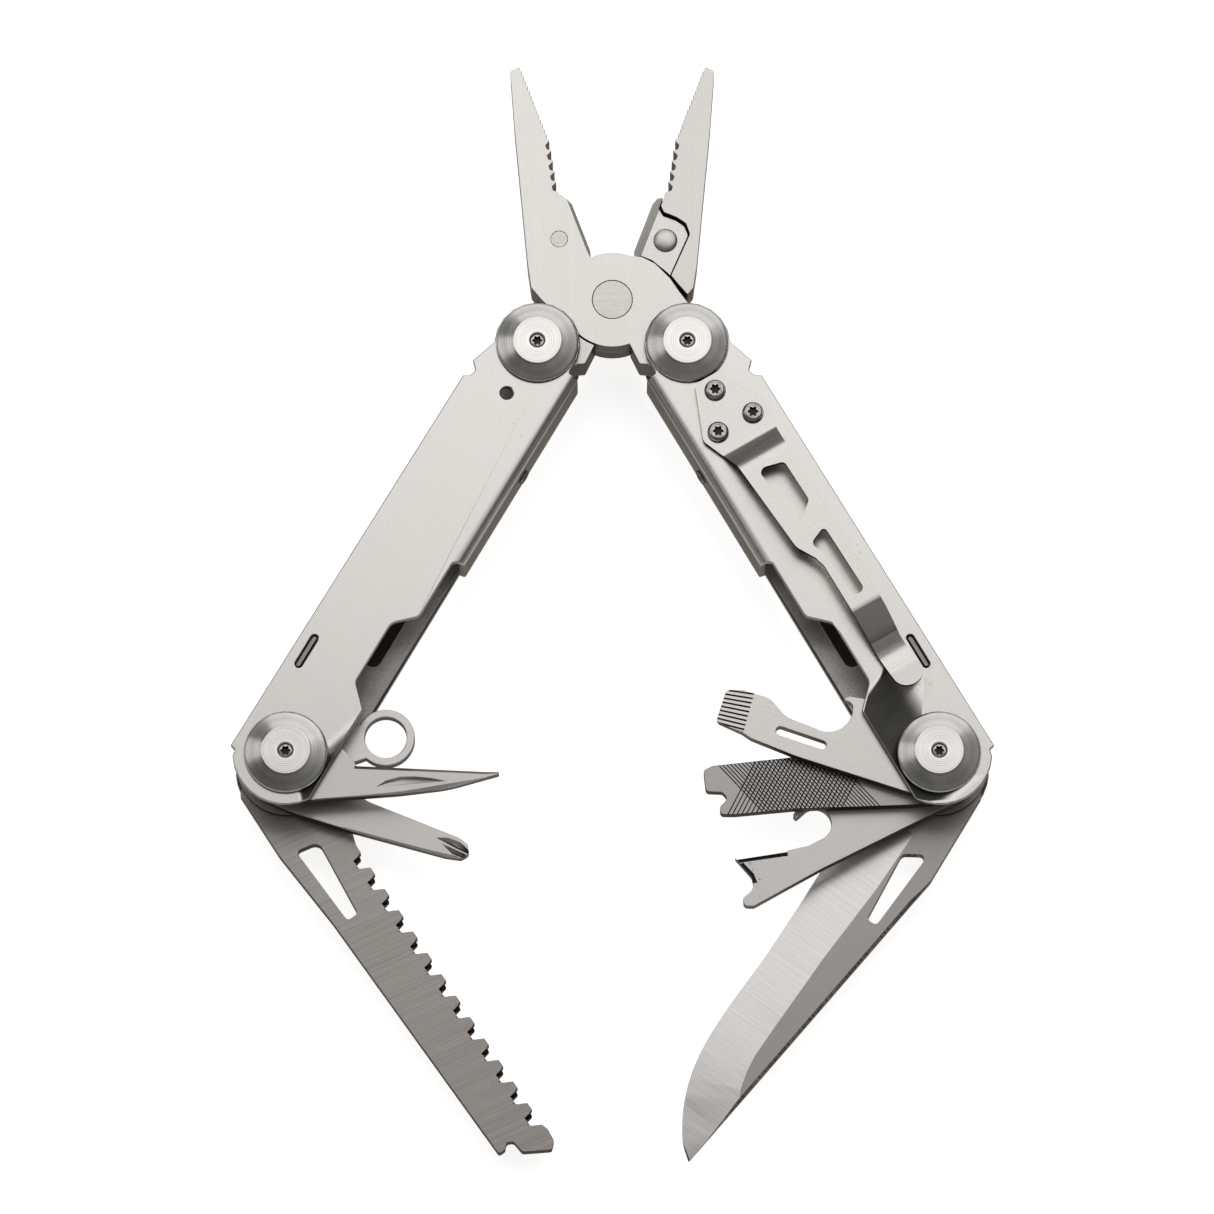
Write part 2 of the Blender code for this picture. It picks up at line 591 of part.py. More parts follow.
def cut_bevels(blade, parent, turn, layer, side, planes):
    """Cuts matching slopes on both faces; each plane is three (x, y, height) points.

    A height is a share of half the blade's thickness, from its middle plane.
    """
    low, high = layer
    middle, half = (low + high) / 2, (high - low) / 2
    for number, points in enumerate(planes):
        for face in (1, -1):
            spots = [(x, side * y, middle + face * share * half) for x, y, share in points]
            cutter = half_space(f"{blade.name}_bevel_{number}_{face}", parent, spots,
                                (0, 0, middle), turn=turn)
            combine(blade, cutter)


def make_tools():
    left = axis("left_tool_axis", *lower_pivot(1))
    right = axis("right_tool_axis", *lower_pivot(-1))
    point, turn = make_tool("awl", left, 1, -6, FRONT_TOOL, awl())
    cut_bevels(point, left, turn, FRONT_TOOL, 1, [[(12.8, -0.5, 0.9), (38.7, 1.1, 0.2), (30, -1.3, 1.0)]])
    make_tool("lanyard_ring", left, 1, 10, MIDDLE_TOOL, lanyard_ring(), [circle(18.4, 0.7, 3.8)])
    make_tool("phillips_driver", left, 1, -24, REAR_TOOL, phillips_driver())
    thumb_hole = rounded([(14.4, -6.8, 0.8), (15.0, -2.3, 1.6), (30.2, -3.0, 0.7), (30.4, -5.3, 0.7)])
    make_tool("saw", left, 1, -59, BLADE, saw(), [thumb_hole])

    make_tool("bottle_opener", right, -1, 15, FRONT_TOOL, bottle_opener(),
              [slot((20.9, -3.75), (28.9, -3.15), 1.6)])
    make_tool("file", right, -1, -6, MIDDLE_TOOL, metal_file())
    make_tool("can_opener", right, -1, -27, REAR_TOOL, can_opener())
    thumb_hole = rounded([(14.9, -7.1, 0.9), (17.3, -2.9, 1.2), (31.2, -3.6, 0.8), (31.2, -5.6, 0.8)])
    edge, turn = make_tool("knife", right, -1, -59, BLADE, knife(), [thumb_hole], colour=STEEL)
    cut_bevels(edge, right, turn, BLADE, -1,
               [[(16.0, -1.9, 1.0), (66.0, 1.2, 1.0), (50.0, 9.2, 0.12)],
                [(70.5, -1.2, 1.0), (86.2, 1.6, 0.12), (72.0, 9.4, 0.12)]])


for old in list(bpy.data.objects):
    bpy.data.objects.remove(old)
PARTS = collection("multi_tool")
CUTTERS = collection("cutters")
make_pliers()
make_handle("left", 1)
right_fold = make_handle("right", -1)
make_clip(right_fold)
make_tools()
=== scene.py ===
"""The finished look of the plier multi-tool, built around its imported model.

Lengths are metres unless a value is multiplied by MM. Flat outlines are (x, y) or (u, v) lists in
millimetres: u runs from a handle's lower pivot to its upper one, v towards the side that the tools
open from, and a tool's x runs from its pivot along it, y towards the side that leads as it folds away.
"""

import json
import math

import bmesh
import bpy
from mathutils import Matrix, Vector


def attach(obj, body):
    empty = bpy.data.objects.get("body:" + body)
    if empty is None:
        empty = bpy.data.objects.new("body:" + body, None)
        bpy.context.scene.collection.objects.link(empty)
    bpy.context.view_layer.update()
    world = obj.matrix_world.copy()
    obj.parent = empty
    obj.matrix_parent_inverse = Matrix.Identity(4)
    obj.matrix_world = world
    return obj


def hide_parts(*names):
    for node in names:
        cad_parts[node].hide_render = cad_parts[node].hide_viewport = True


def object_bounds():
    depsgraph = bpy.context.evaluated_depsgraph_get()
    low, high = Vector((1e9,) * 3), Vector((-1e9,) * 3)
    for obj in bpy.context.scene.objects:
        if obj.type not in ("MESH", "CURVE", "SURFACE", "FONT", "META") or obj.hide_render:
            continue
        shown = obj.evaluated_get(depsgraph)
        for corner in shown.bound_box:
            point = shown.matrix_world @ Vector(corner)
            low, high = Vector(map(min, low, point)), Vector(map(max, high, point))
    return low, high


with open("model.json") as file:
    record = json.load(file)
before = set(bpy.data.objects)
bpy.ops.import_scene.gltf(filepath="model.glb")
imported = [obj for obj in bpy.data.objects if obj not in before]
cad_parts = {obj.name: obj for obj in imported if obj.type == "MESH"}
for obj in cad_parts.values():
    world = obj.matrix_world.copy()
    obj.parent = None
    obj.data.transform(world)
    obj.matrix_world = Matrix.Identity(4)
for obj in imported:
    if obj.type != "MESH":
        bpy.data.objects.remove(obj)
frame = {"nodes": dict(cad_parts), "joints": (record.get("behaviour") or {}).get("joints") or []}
CAD_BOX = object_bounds()

MM = 0.001
PIVOT = {joint["name"]: Vector(joint["pos_m"]) for joint in frame["joints"]}
UPPER = {1: PIVOT["handle_left_fold"], -1: PIVOT["handle_right_fold"]}
LOWER = {1: PIVOT["saw_fold"], -1: PIVOT["knife_fold"]}
PLIER_PIN = PIVOT["plier_squeeze"]
PIVOTS = round((UPPER[1] - LOWER[1]).length / MM, 2)    # from pivot to pivot of a handle, millimetres
SIDES = {"left": 1, "right": -1}
TOOL_ANGLE = {"awl": -6, "lanyard_ring": 10, "phillips_driver": -24, "saw": -59,
              "bottle_opener": 15, "file": -6, "can_opener": -27, "knife": -59}
RIGHT_TOOLS = ("bottle_opener", "file", "can_opener", "knife")
LEVEL = 0.9995          # a face whose normal's z is beyond this counts as level
LEAST_BEND = 1.0        # degrees
BEVEL_ANGLE = math.radians(38)


# ---------------------------------------------------------------- frames

def handle_frame(side):
    """From (u, v, z) on a handle to the row frame; the right handle mirrors the left one."""
    lower = LOWER[side]
    along = (UPPER[side] - lower).normalized()
    across = Vector((along.y, -along.x, 0)) * side
    return Matrix(((along.x, across.x, 0, lower.x), (along.y, across.y, 0, lower.y),
                   (0, 0, 1, 0), (0, 0, 0, 1)))


def tool_frame(name):
    """From (x, y, z) on a tool to the row frame."""
    side = -1 if name in RIGHT_TOOLS else 1
    angle = math.radians(TOOL_ANGLE[name])
    pivot = LOWER[side]
    c, s = math.cos(angle), math.sin(angle)
    return Matrix(((side * c, -side * s, 0, pivot.x), (s, c, 0, pivot.y), (0, 0, 1, 0), (0, 0, 0, 1)))


def at(point):
    """A frame with its origin over a point, at z 0."""
    return Matrix.Translation((point.x, point.y, 0))


def heading(matrix):
    """The direction in plan of a frame's first axis, in degrees."""
    return math.degrees(math.atan2(matrix[1][0], matrix[0][0]))


# ---------------------------------------------------------------- meshes

def arc(x, y, radius, start, end, steps):
    """Points on a circle from the start to the end angle, in degrees."""
    angles = [math.radians(start + (end - start) * i / steps) for i in range(steps + 1)]
    return [(x + radius * math.cos(a), y + radius * math.sin(a)) for a in angles]


def circle(x, y, radius, steps=48):
    return arc(x, y, radius, 0, 360, steps)[:-1]


def slot(start, end, width, steps=12):
    """An obround between two centres."""
    lean = math.degrees(math.atan2(end[1] - start[1], end[0] - start[0]))
    return (arc(*end, width / 2, lean - 90, lean + 90, steps)
            + arc(*start, width / 2, lean + 90, lean + 270, steps))


def rounded(corners, steps=6):
    """Turns each (x, y, radius) corner of a closed outline into an arc; (x, y) stays sharp."""
    points = []
    for i, corner in enumerate(corners):
        here = Vector(corner[:2])
        if len(corner) == 2:
            points.append(tuple(here))
            continue
        before = Vector(corners[i - 1][:2]) - here
        after = Vector(corners[(i + 1) % len(corners)][:2]) - here
        half = before.angle(after) / 2
        reach = min(corner[2] / math.tan(half), 0.49 * before.length, 0.49 * after.length)
        middle = here + (before.normalized() + after.normalized()).normalized() * reach / math.cos(half)
        first = here + before.normalized() * reach - middle
        last = here + after.normalized() * reach - middle
        start = math.degrees(math.atan2(first.y, first.x))
        sweep = math.degrees(-first.angle_signed(last))
        points += arc(*middle, first.length, start, start + sweep, steps)
    return points


def star(radius, depth=0.7, steps=5):
    """The outline of a six-lobed driver socket, with rounded lobes and flutes."""
    points = []
    for i in range(6 * 2 * steps):
        angle = math.pi * i / (6 * steps)
        wave = (1 + math.cos(6 * angle)) / 2
        reach = radius * (depth + (1 - depth) * wave)
        points.append((reach * math.cos(angle), reach * math.sin(angle)))
    return points


def finish_mesh(name, body, crease=35.0, crisp=True):
    """A mesh from a bmesh: faces outwards, smooth with edges where it bends by more than crease.

    A crisp mesh also has an edge round every level face, however shallow the slope beside it.
    """
    bmesh.ops.recalc_face_normals(body, faces=body.faces)
    for face in body.faces:
        face.smooth = True
    for edge in body.edges:
        if len(edge.link_faces) == 2:
            bend = math.degrees(edge.calc_face_angle())
            level = [abs(face.normal.z) > LEVEL for face in edge.link_faces]
            beside = crisp and level[0] != level[1] and bend > LEAST_BEND
            edge.smooth = bend < crease and not beside
    mesh = bpy.data.meshes.new(name)
    body.to_mesh(mesh)
    body.free()
    return mesh


def piece(name, mesh, body, node, finish):
    """Puts a mesh in the scene in place of a CAD node, with one finish or a list of them."""
    made = bpy.data.objects.new(name, mesh)
    bpy.context.scene.collection.objects.link(made)
    mesh.materials.clear()
    for look in finish if isinstance(finish, list) else [finish]:
        mesh.materials.append(look)
    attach(made, body)
    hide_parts(node)
    return made


def paint(made, index, place, chosen):
    """Gives a finish to the faces chosen by their middle, in a frame's millimetres, and normal's z."""
    inward = place.inverted()
    for face in made.data.polygons:
        if chosen(inward @ face.center / MM, abs(face.normal.z)):
            face.material_index = index


def round_edges(shown, width, clamp=True, miter="MITER_SHARP"):
    """A bevel, in millimetres, on every edge that bends by more than BEVEL_ANGLE."""
    edge = shown.modifiers.new("edge", "BEVEL")
    edge.width = width * MM
    edge.segments = 2
    edge.limit_method = "ANGLE"
    edge.angle_limit = BEVEL_ANGLE
    edge.use_clamp_overlap = clamp
    edge.harden_normals = True
    edge.miter_outer = miter


def spun(name, profile, place, steps=96):
    """A turned solid: a closed (radius, height) outline in millimetres about a frame's z axis."""
    body = bmesh.new()
    rings = []
    for step in range(steps):
        angle = 2 * math.pi * step / steps
        c, s = math.cos(angle), math.sin(angle)
        rings.append([body.verts.new(place @ Vector((r * c * MM, r * s * MM, z * MM))) for r, z in profile])
    for step in range(steps):
        here, there = rings[step], rings[(step + 1) % steps]
        for i in range(len(profile)):
            j = (i + 1) % len(profile)
            body.faces.new((here[i], here[j], there[j], there[i]))
    bmesh.ops.remove_doubles(body, verts=body.verts, dist=1e-7)
    bmesh.ops.dissolve_degenerate(body, edges=body.edges, dist=1e-7)
    return body


def sheet(outline, holes, low, high, bevel, place, rings=1):
    """A flat piece with its outline, holes and rounded edges, as a bmesh; all in millimetres."""
    curve = bpy.data.curves.new("outline", "CURVE")
    curve.dimensions = "2D"
    curve.fill_mode = "BOTH"
    curve.extrude = ((high - low) / 2 - bevel) * MM
    curve.bevel_depth = bevel * MM
    curve.bevel_resolution = rings
    curve.offset = -bevel * MM
    for loop in (outline, *holes):
        spline = curve.splines.new("POLY")
        spline.points.add(len(loop) - 1)
        for point, (x, y) in zip(spline.points, loop):
            point.co = (x * MM, y * MM, 0, 1)
        spline.use_cyclic_u = True
    shape = bpy.data.objects.new("outline", curve)
    bpy.context.scene.collection.objects.link(shape)
    mesh = bpy.data.meshes.new_from_object(shape.evaluated_get(bpy.context.evaluated_depsgraph_get()))
    bpy.data.objects.remove(shape)
    bpy.data.curves.remove(curve)
    body = bmesh.new()
    body.from_mesh(mesh)
    bpy.data.meshes.remove(mesh)
    bmesh.ops.remove_doubles(body, verts=body.verts, dist=1e-6)
    bmesh.ops.transform(body, matrix=place @ Matrix.Translation((0, 0, (low + high) / 2 * MM)),
                        verts=body.verts)
    return body


def carved(mesh, *cutters, operation="DIFFERENCE", crisp=True):
    """A mesh with solids, given as bmeshes, cut out of it for good."""
    target = bpy.data.objects.new("target", mesh)
    bpy.context.scene.collection.objects.link(target)
    helpers = []
    for cutter in cutters:
        bmesh.ops.triangulate(cutter, faces=cutter.faces)
        helper = bpy.data.objects.new("cutter", finish_mesh("cutter", cutter))
        bpy.context.scene.collection.objects.link(helper)
        helpers.append(helper)
        step = target.modifiers.new("cut", "BOOLEAN")
        step.operation = operation
        step.object = helper
        step.solver = "EXACT"
    result = bpy.data.meshes.new_from_object(target.evaluated_get(bpy.context.evaluated_depsgraph_get()))
    for made in (target, *helpers):
        bpy.data.objects.remove(made)
    body = bmesh.new()
    body.from_mesh(result)
    bmesh.ops.remove_doubles(body, verts=body.verts, dist=1e-7)
    bmesh.ops.dissolve_degenerate(body, edges=body.edges, dist=1e-7)
    bpy.data.meshes.remove(result)
    return finish_mesh(mesh.name, body, crisp=crisp)


def strip_solid(rows):
    """A closed solid from rows of matching corners, with a cap at each end."""
    body = bmesh.new()
    made = [[body.verts.new(corner) for corner in row] for row in rows]
    for here, there in zip(made, made[1:]):
        for i in range(len(here)):
            j = (i + 1) % len(here)
            body.faces.new((here[i], here[j], there[j], there[i]))
    body.faces.new(made[0])
    body.faces.new(made[-1])
    return body


def ruled(stations, place, reach=0.3, flip=None):
    """A cutter that leaves a slope on a piece's front face.

    Its underside follows a line from each station's inner point, on the face, to its outer one. flip is
    the height about which it is mirrored for the rear face.
    """
    rows = []
    for inner, outer in stations:
        a, b = Vector(inner), Vector(outer)
        way = (b - a).normalized() * reach
        corners = [a - way, b + way]
        top = a.z + 3
        corners += [Vector((corners[1].x, corners[1].y, top)), Vector((corners[0].x, corners[0].y, top))]
        if flip is not None:
            for corner in corners:
                corner.z = 2 * flip - corner.z
        rows.append([place @ (corner * MM) for corner in corners])
    return strip_solid(rows)


def pit(rim, floor, high, place):
    """A cutter for a hollow: its walls slope from a convex rim on the face to the floor's points."""
    body = bmesh.new()
    for x, y in rim:
        body.verts.new(place @ (Vector((x, y, high)) * MM))
        body.verts.new(place @ (Vector((x, y, high + 1)) * MM))
    for x, y, depth in floor:
        body.verts.new(place @ (Vector((x, y, high - depth)) * MM))
    bmesh.ops.convex_hull(body, input=body.verts)
    return body


def bar(start, end, width, low, high, place, vee=0.0):
    """A straight cutter with parallel sides; vee pulls its underside in to a groove's point."""
    a, b = Vector(start), Vector(end)
    side = Vector((a.y - b.y, b.x - a.x)).normalized() * width / 2
    rows = []
    for spot in (a, b):
        near, far = spot - side, spot + side
        deep = spot - side * (1 - vee), spot + side * (1 - vee)
        rows.append([place @ (Vector((*p, z)) * MM)
                     for p, z in ((near, high), (far, high), (deep[1], low), (deep[0], low))])
    return strip_solid(rows)


def joined(bodies):
    """Several separate solids as one bmesh."""
    whole = bmesh.new()
    for body in bodies:
        mesh = bpy.data.meshes.new("part")
        bmesh.ops.recalc_face_normals(body, faces=body.faces)
        body.to_mesh(mesh)
        body.free()
        whole.from_mesh(mesh)
        bpy.data.meshes.remove(mesh)
    return whole


# ---------------------------------------------------------------- materials

GRAZING = (0.27, 0.245, 0.225)      # how much of the light a metal mirrors at a glancing angle


class Finish:
    """A node material that is written socket by socket."""

    def __init__(self, name):
        self.material = bpy.data.materials.new(name)
        self.material.use_nodes = True
        self.tree = self.material.node_tree
        self.shader = self.tree.nodes["Principled BSDF"]
        self.shader.inputs["Metallic"].default_value = 1.0
        self.shader.inputs["Specular Tint"].default_value = (*GRAZING, 1)
        self.place = self.node("ShaderNodeTexCoord").outputs["Object"]

    def node(self, kind, inputs=None, **settings):
        made = self.tree.nodes.new(kind)
        for key, value in settings.items():
            setattr(made, key, value)
        for key, value in (inputs or {}).items():
            if isinstance(value, bpy.types.NodeSocket):
                self.tree.links.new(value, made.inputs[key])
            else:
                made.inputs[key].default_value = value
        return made

    def math(self, operation, *values):
        return self.node("ShaderNodeMath", dict(enumerate(values)), operation=operation).outputs[0]

    def mapped(self, turn=0.0, scale=(1, 1, 1), shift=(0, 0, 0)):
        """Coordinates turned in plan, then scaled: x runs along the direction turn, in degrees."""
        turned = self.node("ShaderNodeMapping", {"Vector": self.place, "Location": shift},
                           vector_type="POINT")
        turned = self.node("ShaderNodeVectorRotate", {"Vector": turned.outputs[0],
                                                      "Angle": math.radians(-turn)},
                           rotation_type="Z_AXIS").outputs[0]
        return self.node("ShaderNodeMapping", {"Vector": turned, "Scale": scale}).outputs[0]

    def noise(self, vector, detail=2.0, roughness=0.5):
        made = self.node("ShaderNodeTexNoise", {"Vector": vector, "Scale": 1.0, "Detail": detail,
                                                "Roughness": roughness})
        return made.outputs["Fac"]

    def ramp(self, value, low, high, start, end, smooth=True):
        """start below low, end above high."""
        made = self.node("ShaderNodeMapRange", {"Value": value, "From Min": low, "From Max": high,
                                                "To Min": start, "To Max": end},
                         interpolation_type="SMOOTHSTEP" if smooth else "LINEAR")
        return made.outputs[0]

    def finish(self, colour, factors, roughness, bumps):
        """The colour times every factor, a roughness and (height, strength, distance) bumps, as wired."""
        factor = factors[0]
        for other in factors[1:]:
            factor = self.math("MULTIPLY", factor, other)
        scaled = self.node("ShaderNodeVectorMath", {0: colour, "Scale": factor}, operation="SCALE")
        self.tree.links.new(scaled.outputs[0], self.shader.inputs["Base Color"])
        self.tree.links.new(roughness, self.shader.inputs["Roughness"])
        normal = None
        for height, strength, distance in bumps:
            inputs = {"Height": height, "Strength": strength, "Distance": distance}
            if normal:
                inputs["Normal"] = normal
            normal = self.node("ShaderNodeBump", inputs).outputs[0]
        if normal:
            self.tree.links.new(normal, self.shader.inputs["Normal"])
        return self.material


def painted_wall_shade(look, dark):
    """Painted shade: a factor that is 1 on faces that look up or down and dark on upright walls."""
    normal = look.node("ShaderNodeNewGeometry").outputs["True Normal"]
    split = look.node("ShaderNodeSeparateXYZ", {0: normal})
    upright = look.math("ABSOLUTE", split.outputs["Z"])
    return look.ramp(upright, 0.25, 0.85, dark, 1.0)


def steel(name, colour, roughness, brush=0.0, streak=0.05, fine=0.05, blotch=0.06, side=0.35, pits=0.0,
          up_face_shade=1.0):
    """Satin steel: scratches along brush, in degrees, and fine grain, clouds, a few pits, and painted shade
    on upright walls.

    streak, fine, blotch and pits say how strong each is. side is the share of the colour kept on upright
    walls, as painted shade; the last argument is the share kept on faces that look up, painted shade that
    darkens the inner face of a back plate deep in the handle.
    """
    look = Finish(name)
    scratches = look.noise(look.mapped(brush, (40, 7500, 900)), detail=3, roughness=0.65)
    coarse = look.noise(look.mapped(brush, (20, 2600, 300)), detail=2)
    clouds = look.noise(look.mapped(0, (70, 70, 70)), detail=4, roughness=0.6)
    grain = look.noise(look.mapped(0, (4200, 4200, 4200)), detail=1)
    factors = [
        look.ramp(scratches, 0.25, 0.75, 1 - streak, 1 + streak, False),
        look.ramp(coarse, 0.3, 0.7, 1 - streak * 0.35, 1 + streak * 0.35, False),
        look.ramp(clouds, 0.3, 0.7, 1 - blotch, 1 + blotch * 0.5),
        look.ramp(grain, 0.3, 0.7, 1 - fine, 1 + fine, False),
        painted_wall_shade(look, side),
    ]
    # painted shade: faces that look up keep only this share of the colour, which darkens a back plate's inner
    # face deep in the handle
    if up_face_shade < 1:
        facing = look.node("ShaderNodeNewGeometry").outputs["True Normal"]
        height = look.node("ShaderNodeSeparateXYZ", {0: facing}).outputs["Z"]
        factors.append(look.ramp(height, 0.5, 0.9, 1.0, up_face_shade))
    if pits:
        spots = look.node("ShaderNodeTexVoronoi", {"Vector": look.mapped(0, (900, 900, 900)), "Scale": 1.0})
        rare = look.noise(look.mapped(0, (160, 160, 160), (0.3, 0.1, 0)), detail=3)
        reach = look.ramp(rare, 0.58, 0.75, 0.0, 0.26)
        pitted = look.math("LESS_THAN", spots.outputs["Distance"], reach)
        factors.append(look.ramp(pitted, 0, 1, 1.0, 1 - pits, False))
    rough = look.ramp(look.math("ADD", scratches, clouds), 0.7, 1.3, roughness * 0.85, roughness * 1.2, False)
    bumps = [(scratches, 0.15, 0.000012), (grain, 0.2, 0.00001)]
    return look.finish(colour, factors, rough, bumps)


def turned_steel(name, colour, roughness, centre, side=0.6):
    """Turned steel: rings about a centre, with highlights that fan out across them, and painted shade on
    upright walls.
    """
    look = Finish(name)
    away = look.mapped(0, (1, 1, 0), (-centre.x, -centre.y, 0))
    radius = look.node("ShaderNodeVectorMath", {0: away}, operation="LENGTH").outputs["Value"]
    rings, broad = (look.node("ShaderNodeTexNoise", {"W": look.math("MULTIPLY", radius, density),
                                                     "Scale": 1.0, "Detail": detail},
                              noise_dimensions="1D").outputs["Fac"]
                    for density, detail in ((5500.0, 3.0), (900.0, 2.0)))
    clouds = look.noise(look.mapped(0, (260, 260, 260)), detail=3)
    factors = [look.ramp(rings, 0.3, 0.7, 0.84, 1.1, False), look.ramp(broad, 0.3, 0.7, 0.9, 1.06, False),
               look.ramp(clouds, 0.3, 0.7, 0.94, 1.03), painted_wall_shade(look, side)]
    rough = look.ramp(clouds, 0.3, 0.7, roughness * 0.85, roughness * 1.15, False)
    made = look.finish(colour, factors, rough, [(rings, 0.35, 0.000015)])
    look.shader.inputs["Anisotropic"].default_value = 0.45
    look.shader.inputs["Anisotropic Rotation"].default_value = 0.25
    tangent = look.node("ShaderNodeTangent", direction_type="RADIAL", axis="Z").outputs[0]
    look.tree.links.new(tangent, look.shader.inputs["Tangent"])
    return made


def striped(name, colour, roughness, along, count):
    """Fine grinding stripes across the direction along, on a dark colour that is painted shade."""
    look = Finish(name)
    lines = look.noise(look.mapped(along, (count * 2.4, 0.0, 0.0)), detail=2)
    clouds = look.noise(look.mapped(0, (300, 300, 300)), detail=3)
    factors = [look.ramp(lines, 0.4, 0.6, 0.55, 1.7, False), look.ramp(clouds, 0.3, 0.7, 0.8, 1.2)]
    rough = look.ramp(lines, 0.3, 0.7, roughness * 0.8, roughness * 1.2, False)
    return look.finish(colour, factors, rough, [(lines, 0.3, 0.00002)])


def blackened_steel_and_shade(name, colour, roughness):
    """Blackened, polished steel with a slight mottle for the screws; the same dark finish is painted shade in
    sockets, grooves and on slopes.
    """
    look = Finish(name)
    clouds = look.noise(look.mapped(0, (900, 900, 900)), detail=3)
    grain = look.noise(look.mapped(0, (5200, 5200, 5200)), detail=1)
    factors = [look.ramp(clouds, 0.3, 0.7, 0.75, 1.2), look.ramp(grain, 0.3, 0.7, 0.9, 1.1)]
    rough = look.ramp(clouds, 0.3, 0.7, roughness * 0.8, roughness * 1.3, False)
    return look.finish(colour, factors, rough, [(grain, 0.15, 0.00001)])


PLATE = (0.565, 0.546, 0.52)
JAW = (0.585, 0.562, 0.532)
# painted shade: the right jaw takes a darker copy of the same jaw colour
SHADED_RIGHT_JAW = (0.53, 0.506, 0.478)
# painted shade: the next share darkens the up-facing inner face of a back plate, which lies deep in the
# handle
BACK_PLATE_INNER_SHADE = 0.12      # share of the plate's colour on the inner face of a back plate
TOOL = (0.52, 0.497, 0.475)
SAW = (0.34, 0.315, 0.295)
TURNED = (0.66, 0.64, 0.61)
INNER = (0.30, 0.285, 0.27)
SCREW = (0.34, 0.33, 0.32)
# painted shade: a near-black finish for the walls and floor of each screw's socket
SOCKET_SHADE = (0.03, 0.028, 0.026)
SCREWS = [blackened_steel_and_shade("dark_screws", SCREW, 0.13), blackened_steel_and_shade("screw_socket_shade", SOCKET_SHADE, 0.35)]
INNER_STEEL = steel("inner_steel", INNER, 0.45, 0, streak=0.06, fine=0.1, blotch=0.15, side=0.5, pits=0.5)


# ---------------------------------------------------------------- CAD nodes that stay

def edge_group():
    """Welds an imported mesh and shades it smooth up to its creases."""
    group = bpy.data.node_groups.new("clean_shading", "GeometryNodeTree")
    group.interface.new_socket("Geometry", in_out="INPUT", socket_type="NodeSocketGeometry")
    group.interface.new_socket("Geometry", in_out="OUTPUT", socket_type="NodeSocketGeometry")

    def add(kind, **settings):
        made = group.nodes.new(kind)
        for key, value in settings.items():
            setattr(made, key, value)
        return made

    start, end = add("NodeGroupInput"), add("NodeGroupOutput")
    plain = add("GeometryNodeRemoveAttribute")
    plain.inputs["Name"].default_value = "custom_normal"
    weld = add("GeometryNodeMergeByDistance")
    weld.inputs["Distance"].default_value = 1e-6
    smooth = add("GeometryNodeSetShadeSmooth", domain="FACE")
    angle = add("GeometryNodeInputMeshEdgeAngle")
    steep = add("FunctionNodeCompare", data_type="FLOAT", operation="GREATER_THAN")
    steep.inputs["B"].default_value = math.radians(32)
    crease = add("GeometryNodeSetShadeSmooth", domain="EDGE")
    crease.inputs["Shade Smooth"].default_value = False
    link = group.links.new
    link(start.outputs[0], plain.inputs[0])
    link(plain.outputs[0], weld.inputs[0])
    link(weld.outputs[0], smooth.inputs[0])
    link(smooth.outputs[0], crease.inputs[0])
    link(angle.outputs["Unsigned Angle"], steep.inputs["A"])
    link(steep.outputs[0], crease.inputs["Selection"])
    link(crease.outputs[0], end.inputs[0])
    return group


CLEAN = edge_group()


def keep(node, finish, bevel=0.0):
    """Keeps a CAD node, with clean shading, rounded edges and a finish."""
    shown = frame["nodes"][node]
    clean = shown.modifiers.new("clean", "NODES")
    clean.node_group = CLEAN
    if bevel:
        flat = shown.modifiers.new("flat", "DECIMATE")
        flat.decimate_type = "DISSOLVE"
        flat.angle_limit = math.radians(0.5)
        round_edges(shown, bevel, clamp=False, miter="MITER_ARC")
    shown.data.materials.clear()
    shown.data.materials.append(finish)


# ---------------------------------------------------------------- stage

def make_stage():
    """A pale paper floor just under the tool, wide enough to fill low views."""
    reach, gap = 9.0, 0.0001
    floor_mesh = bpy.data.meshes.new("floor")
    floor_mesh.from_pydata([(-reach, -reach, 0), (reach, -reach, 0), (reach, reach, 0), (-reach, reach, 0)],
                           [], [(0, 1, 2, 3)])
    floor = bpy.data.objects.new("floor", floor_mesh)
    floor.location.z = CAD_BOX[0].z - gap
    bpy.context.scene.collection.objects.link(floor)
    paper = Finish("floor_paper")
    for socket, value in (("Metallic", 0.0), ("Base Color", (0.86, 0.86, 0.86, 1)), ("Roughness", 0.9),
                          ("Emission Color", (1, 1, 1, 1)), ("Emission Strength", 0.72)):
        paper.shader.inputs[socket].default_value = value
    floor_mesh.materials.append(paper.material)


SKY = [(0.1, 0.42), (0.45, 0.06), (0.98, 0.62)]     # (height up the sky, brightness) of each stop
SKY_LEAN = math.radians(22)                         # of its brightest spot, from overhead to the north
LIGHTS_AIM = Vector((0, 0.02, 0))


def make_world():
    """A soft sky: bright overhead and to the north, a dark band, and a paler horizon."""
    world = bpy.data.worlds.new("studio")
    bpy.context.scene.world = world
    world.use_nodes = True
    tree = world.node_tree
    tree.nodes.clear()
    out = tree.nodes.new("ShaderNodeOutputWorld")
    background = tree.nodes.new("ShaderNodeBackground")
    coordinates = tree.nodes.new("ShaderNodeTexCoord")
    toward = tree.nodes.new("ShaderNodeVectorMath")
    toward.operation = "DOT_PRODUCT"
    toward.inputs[1].default_value = (0.08, math.sin(SKY_LEAN), math.cos(SKY_LEAN))
    ramp = tree.nodes.new("ShaderNodeValToRGB")
    ramp.color_ramp.interpolation = "EASE"
    ramp.color_ramp.elements.new(SKY[1][0])
    for stop, (place, level) in zip(ramp.color_ramp.elements, SKY):
        stop.position = place
        stop.color = (level, level, level, 1)
    link = tree.links.new
    link(coordinates.outputs["Generated"], toward.inputs[0])
    link(toward.outputs["Value"], ramp.inputs["Fac"])
    link(ramp.outputs[0], background.inputs["Strength"])
    link(background.outputs[0], out.inputs["Surface"])


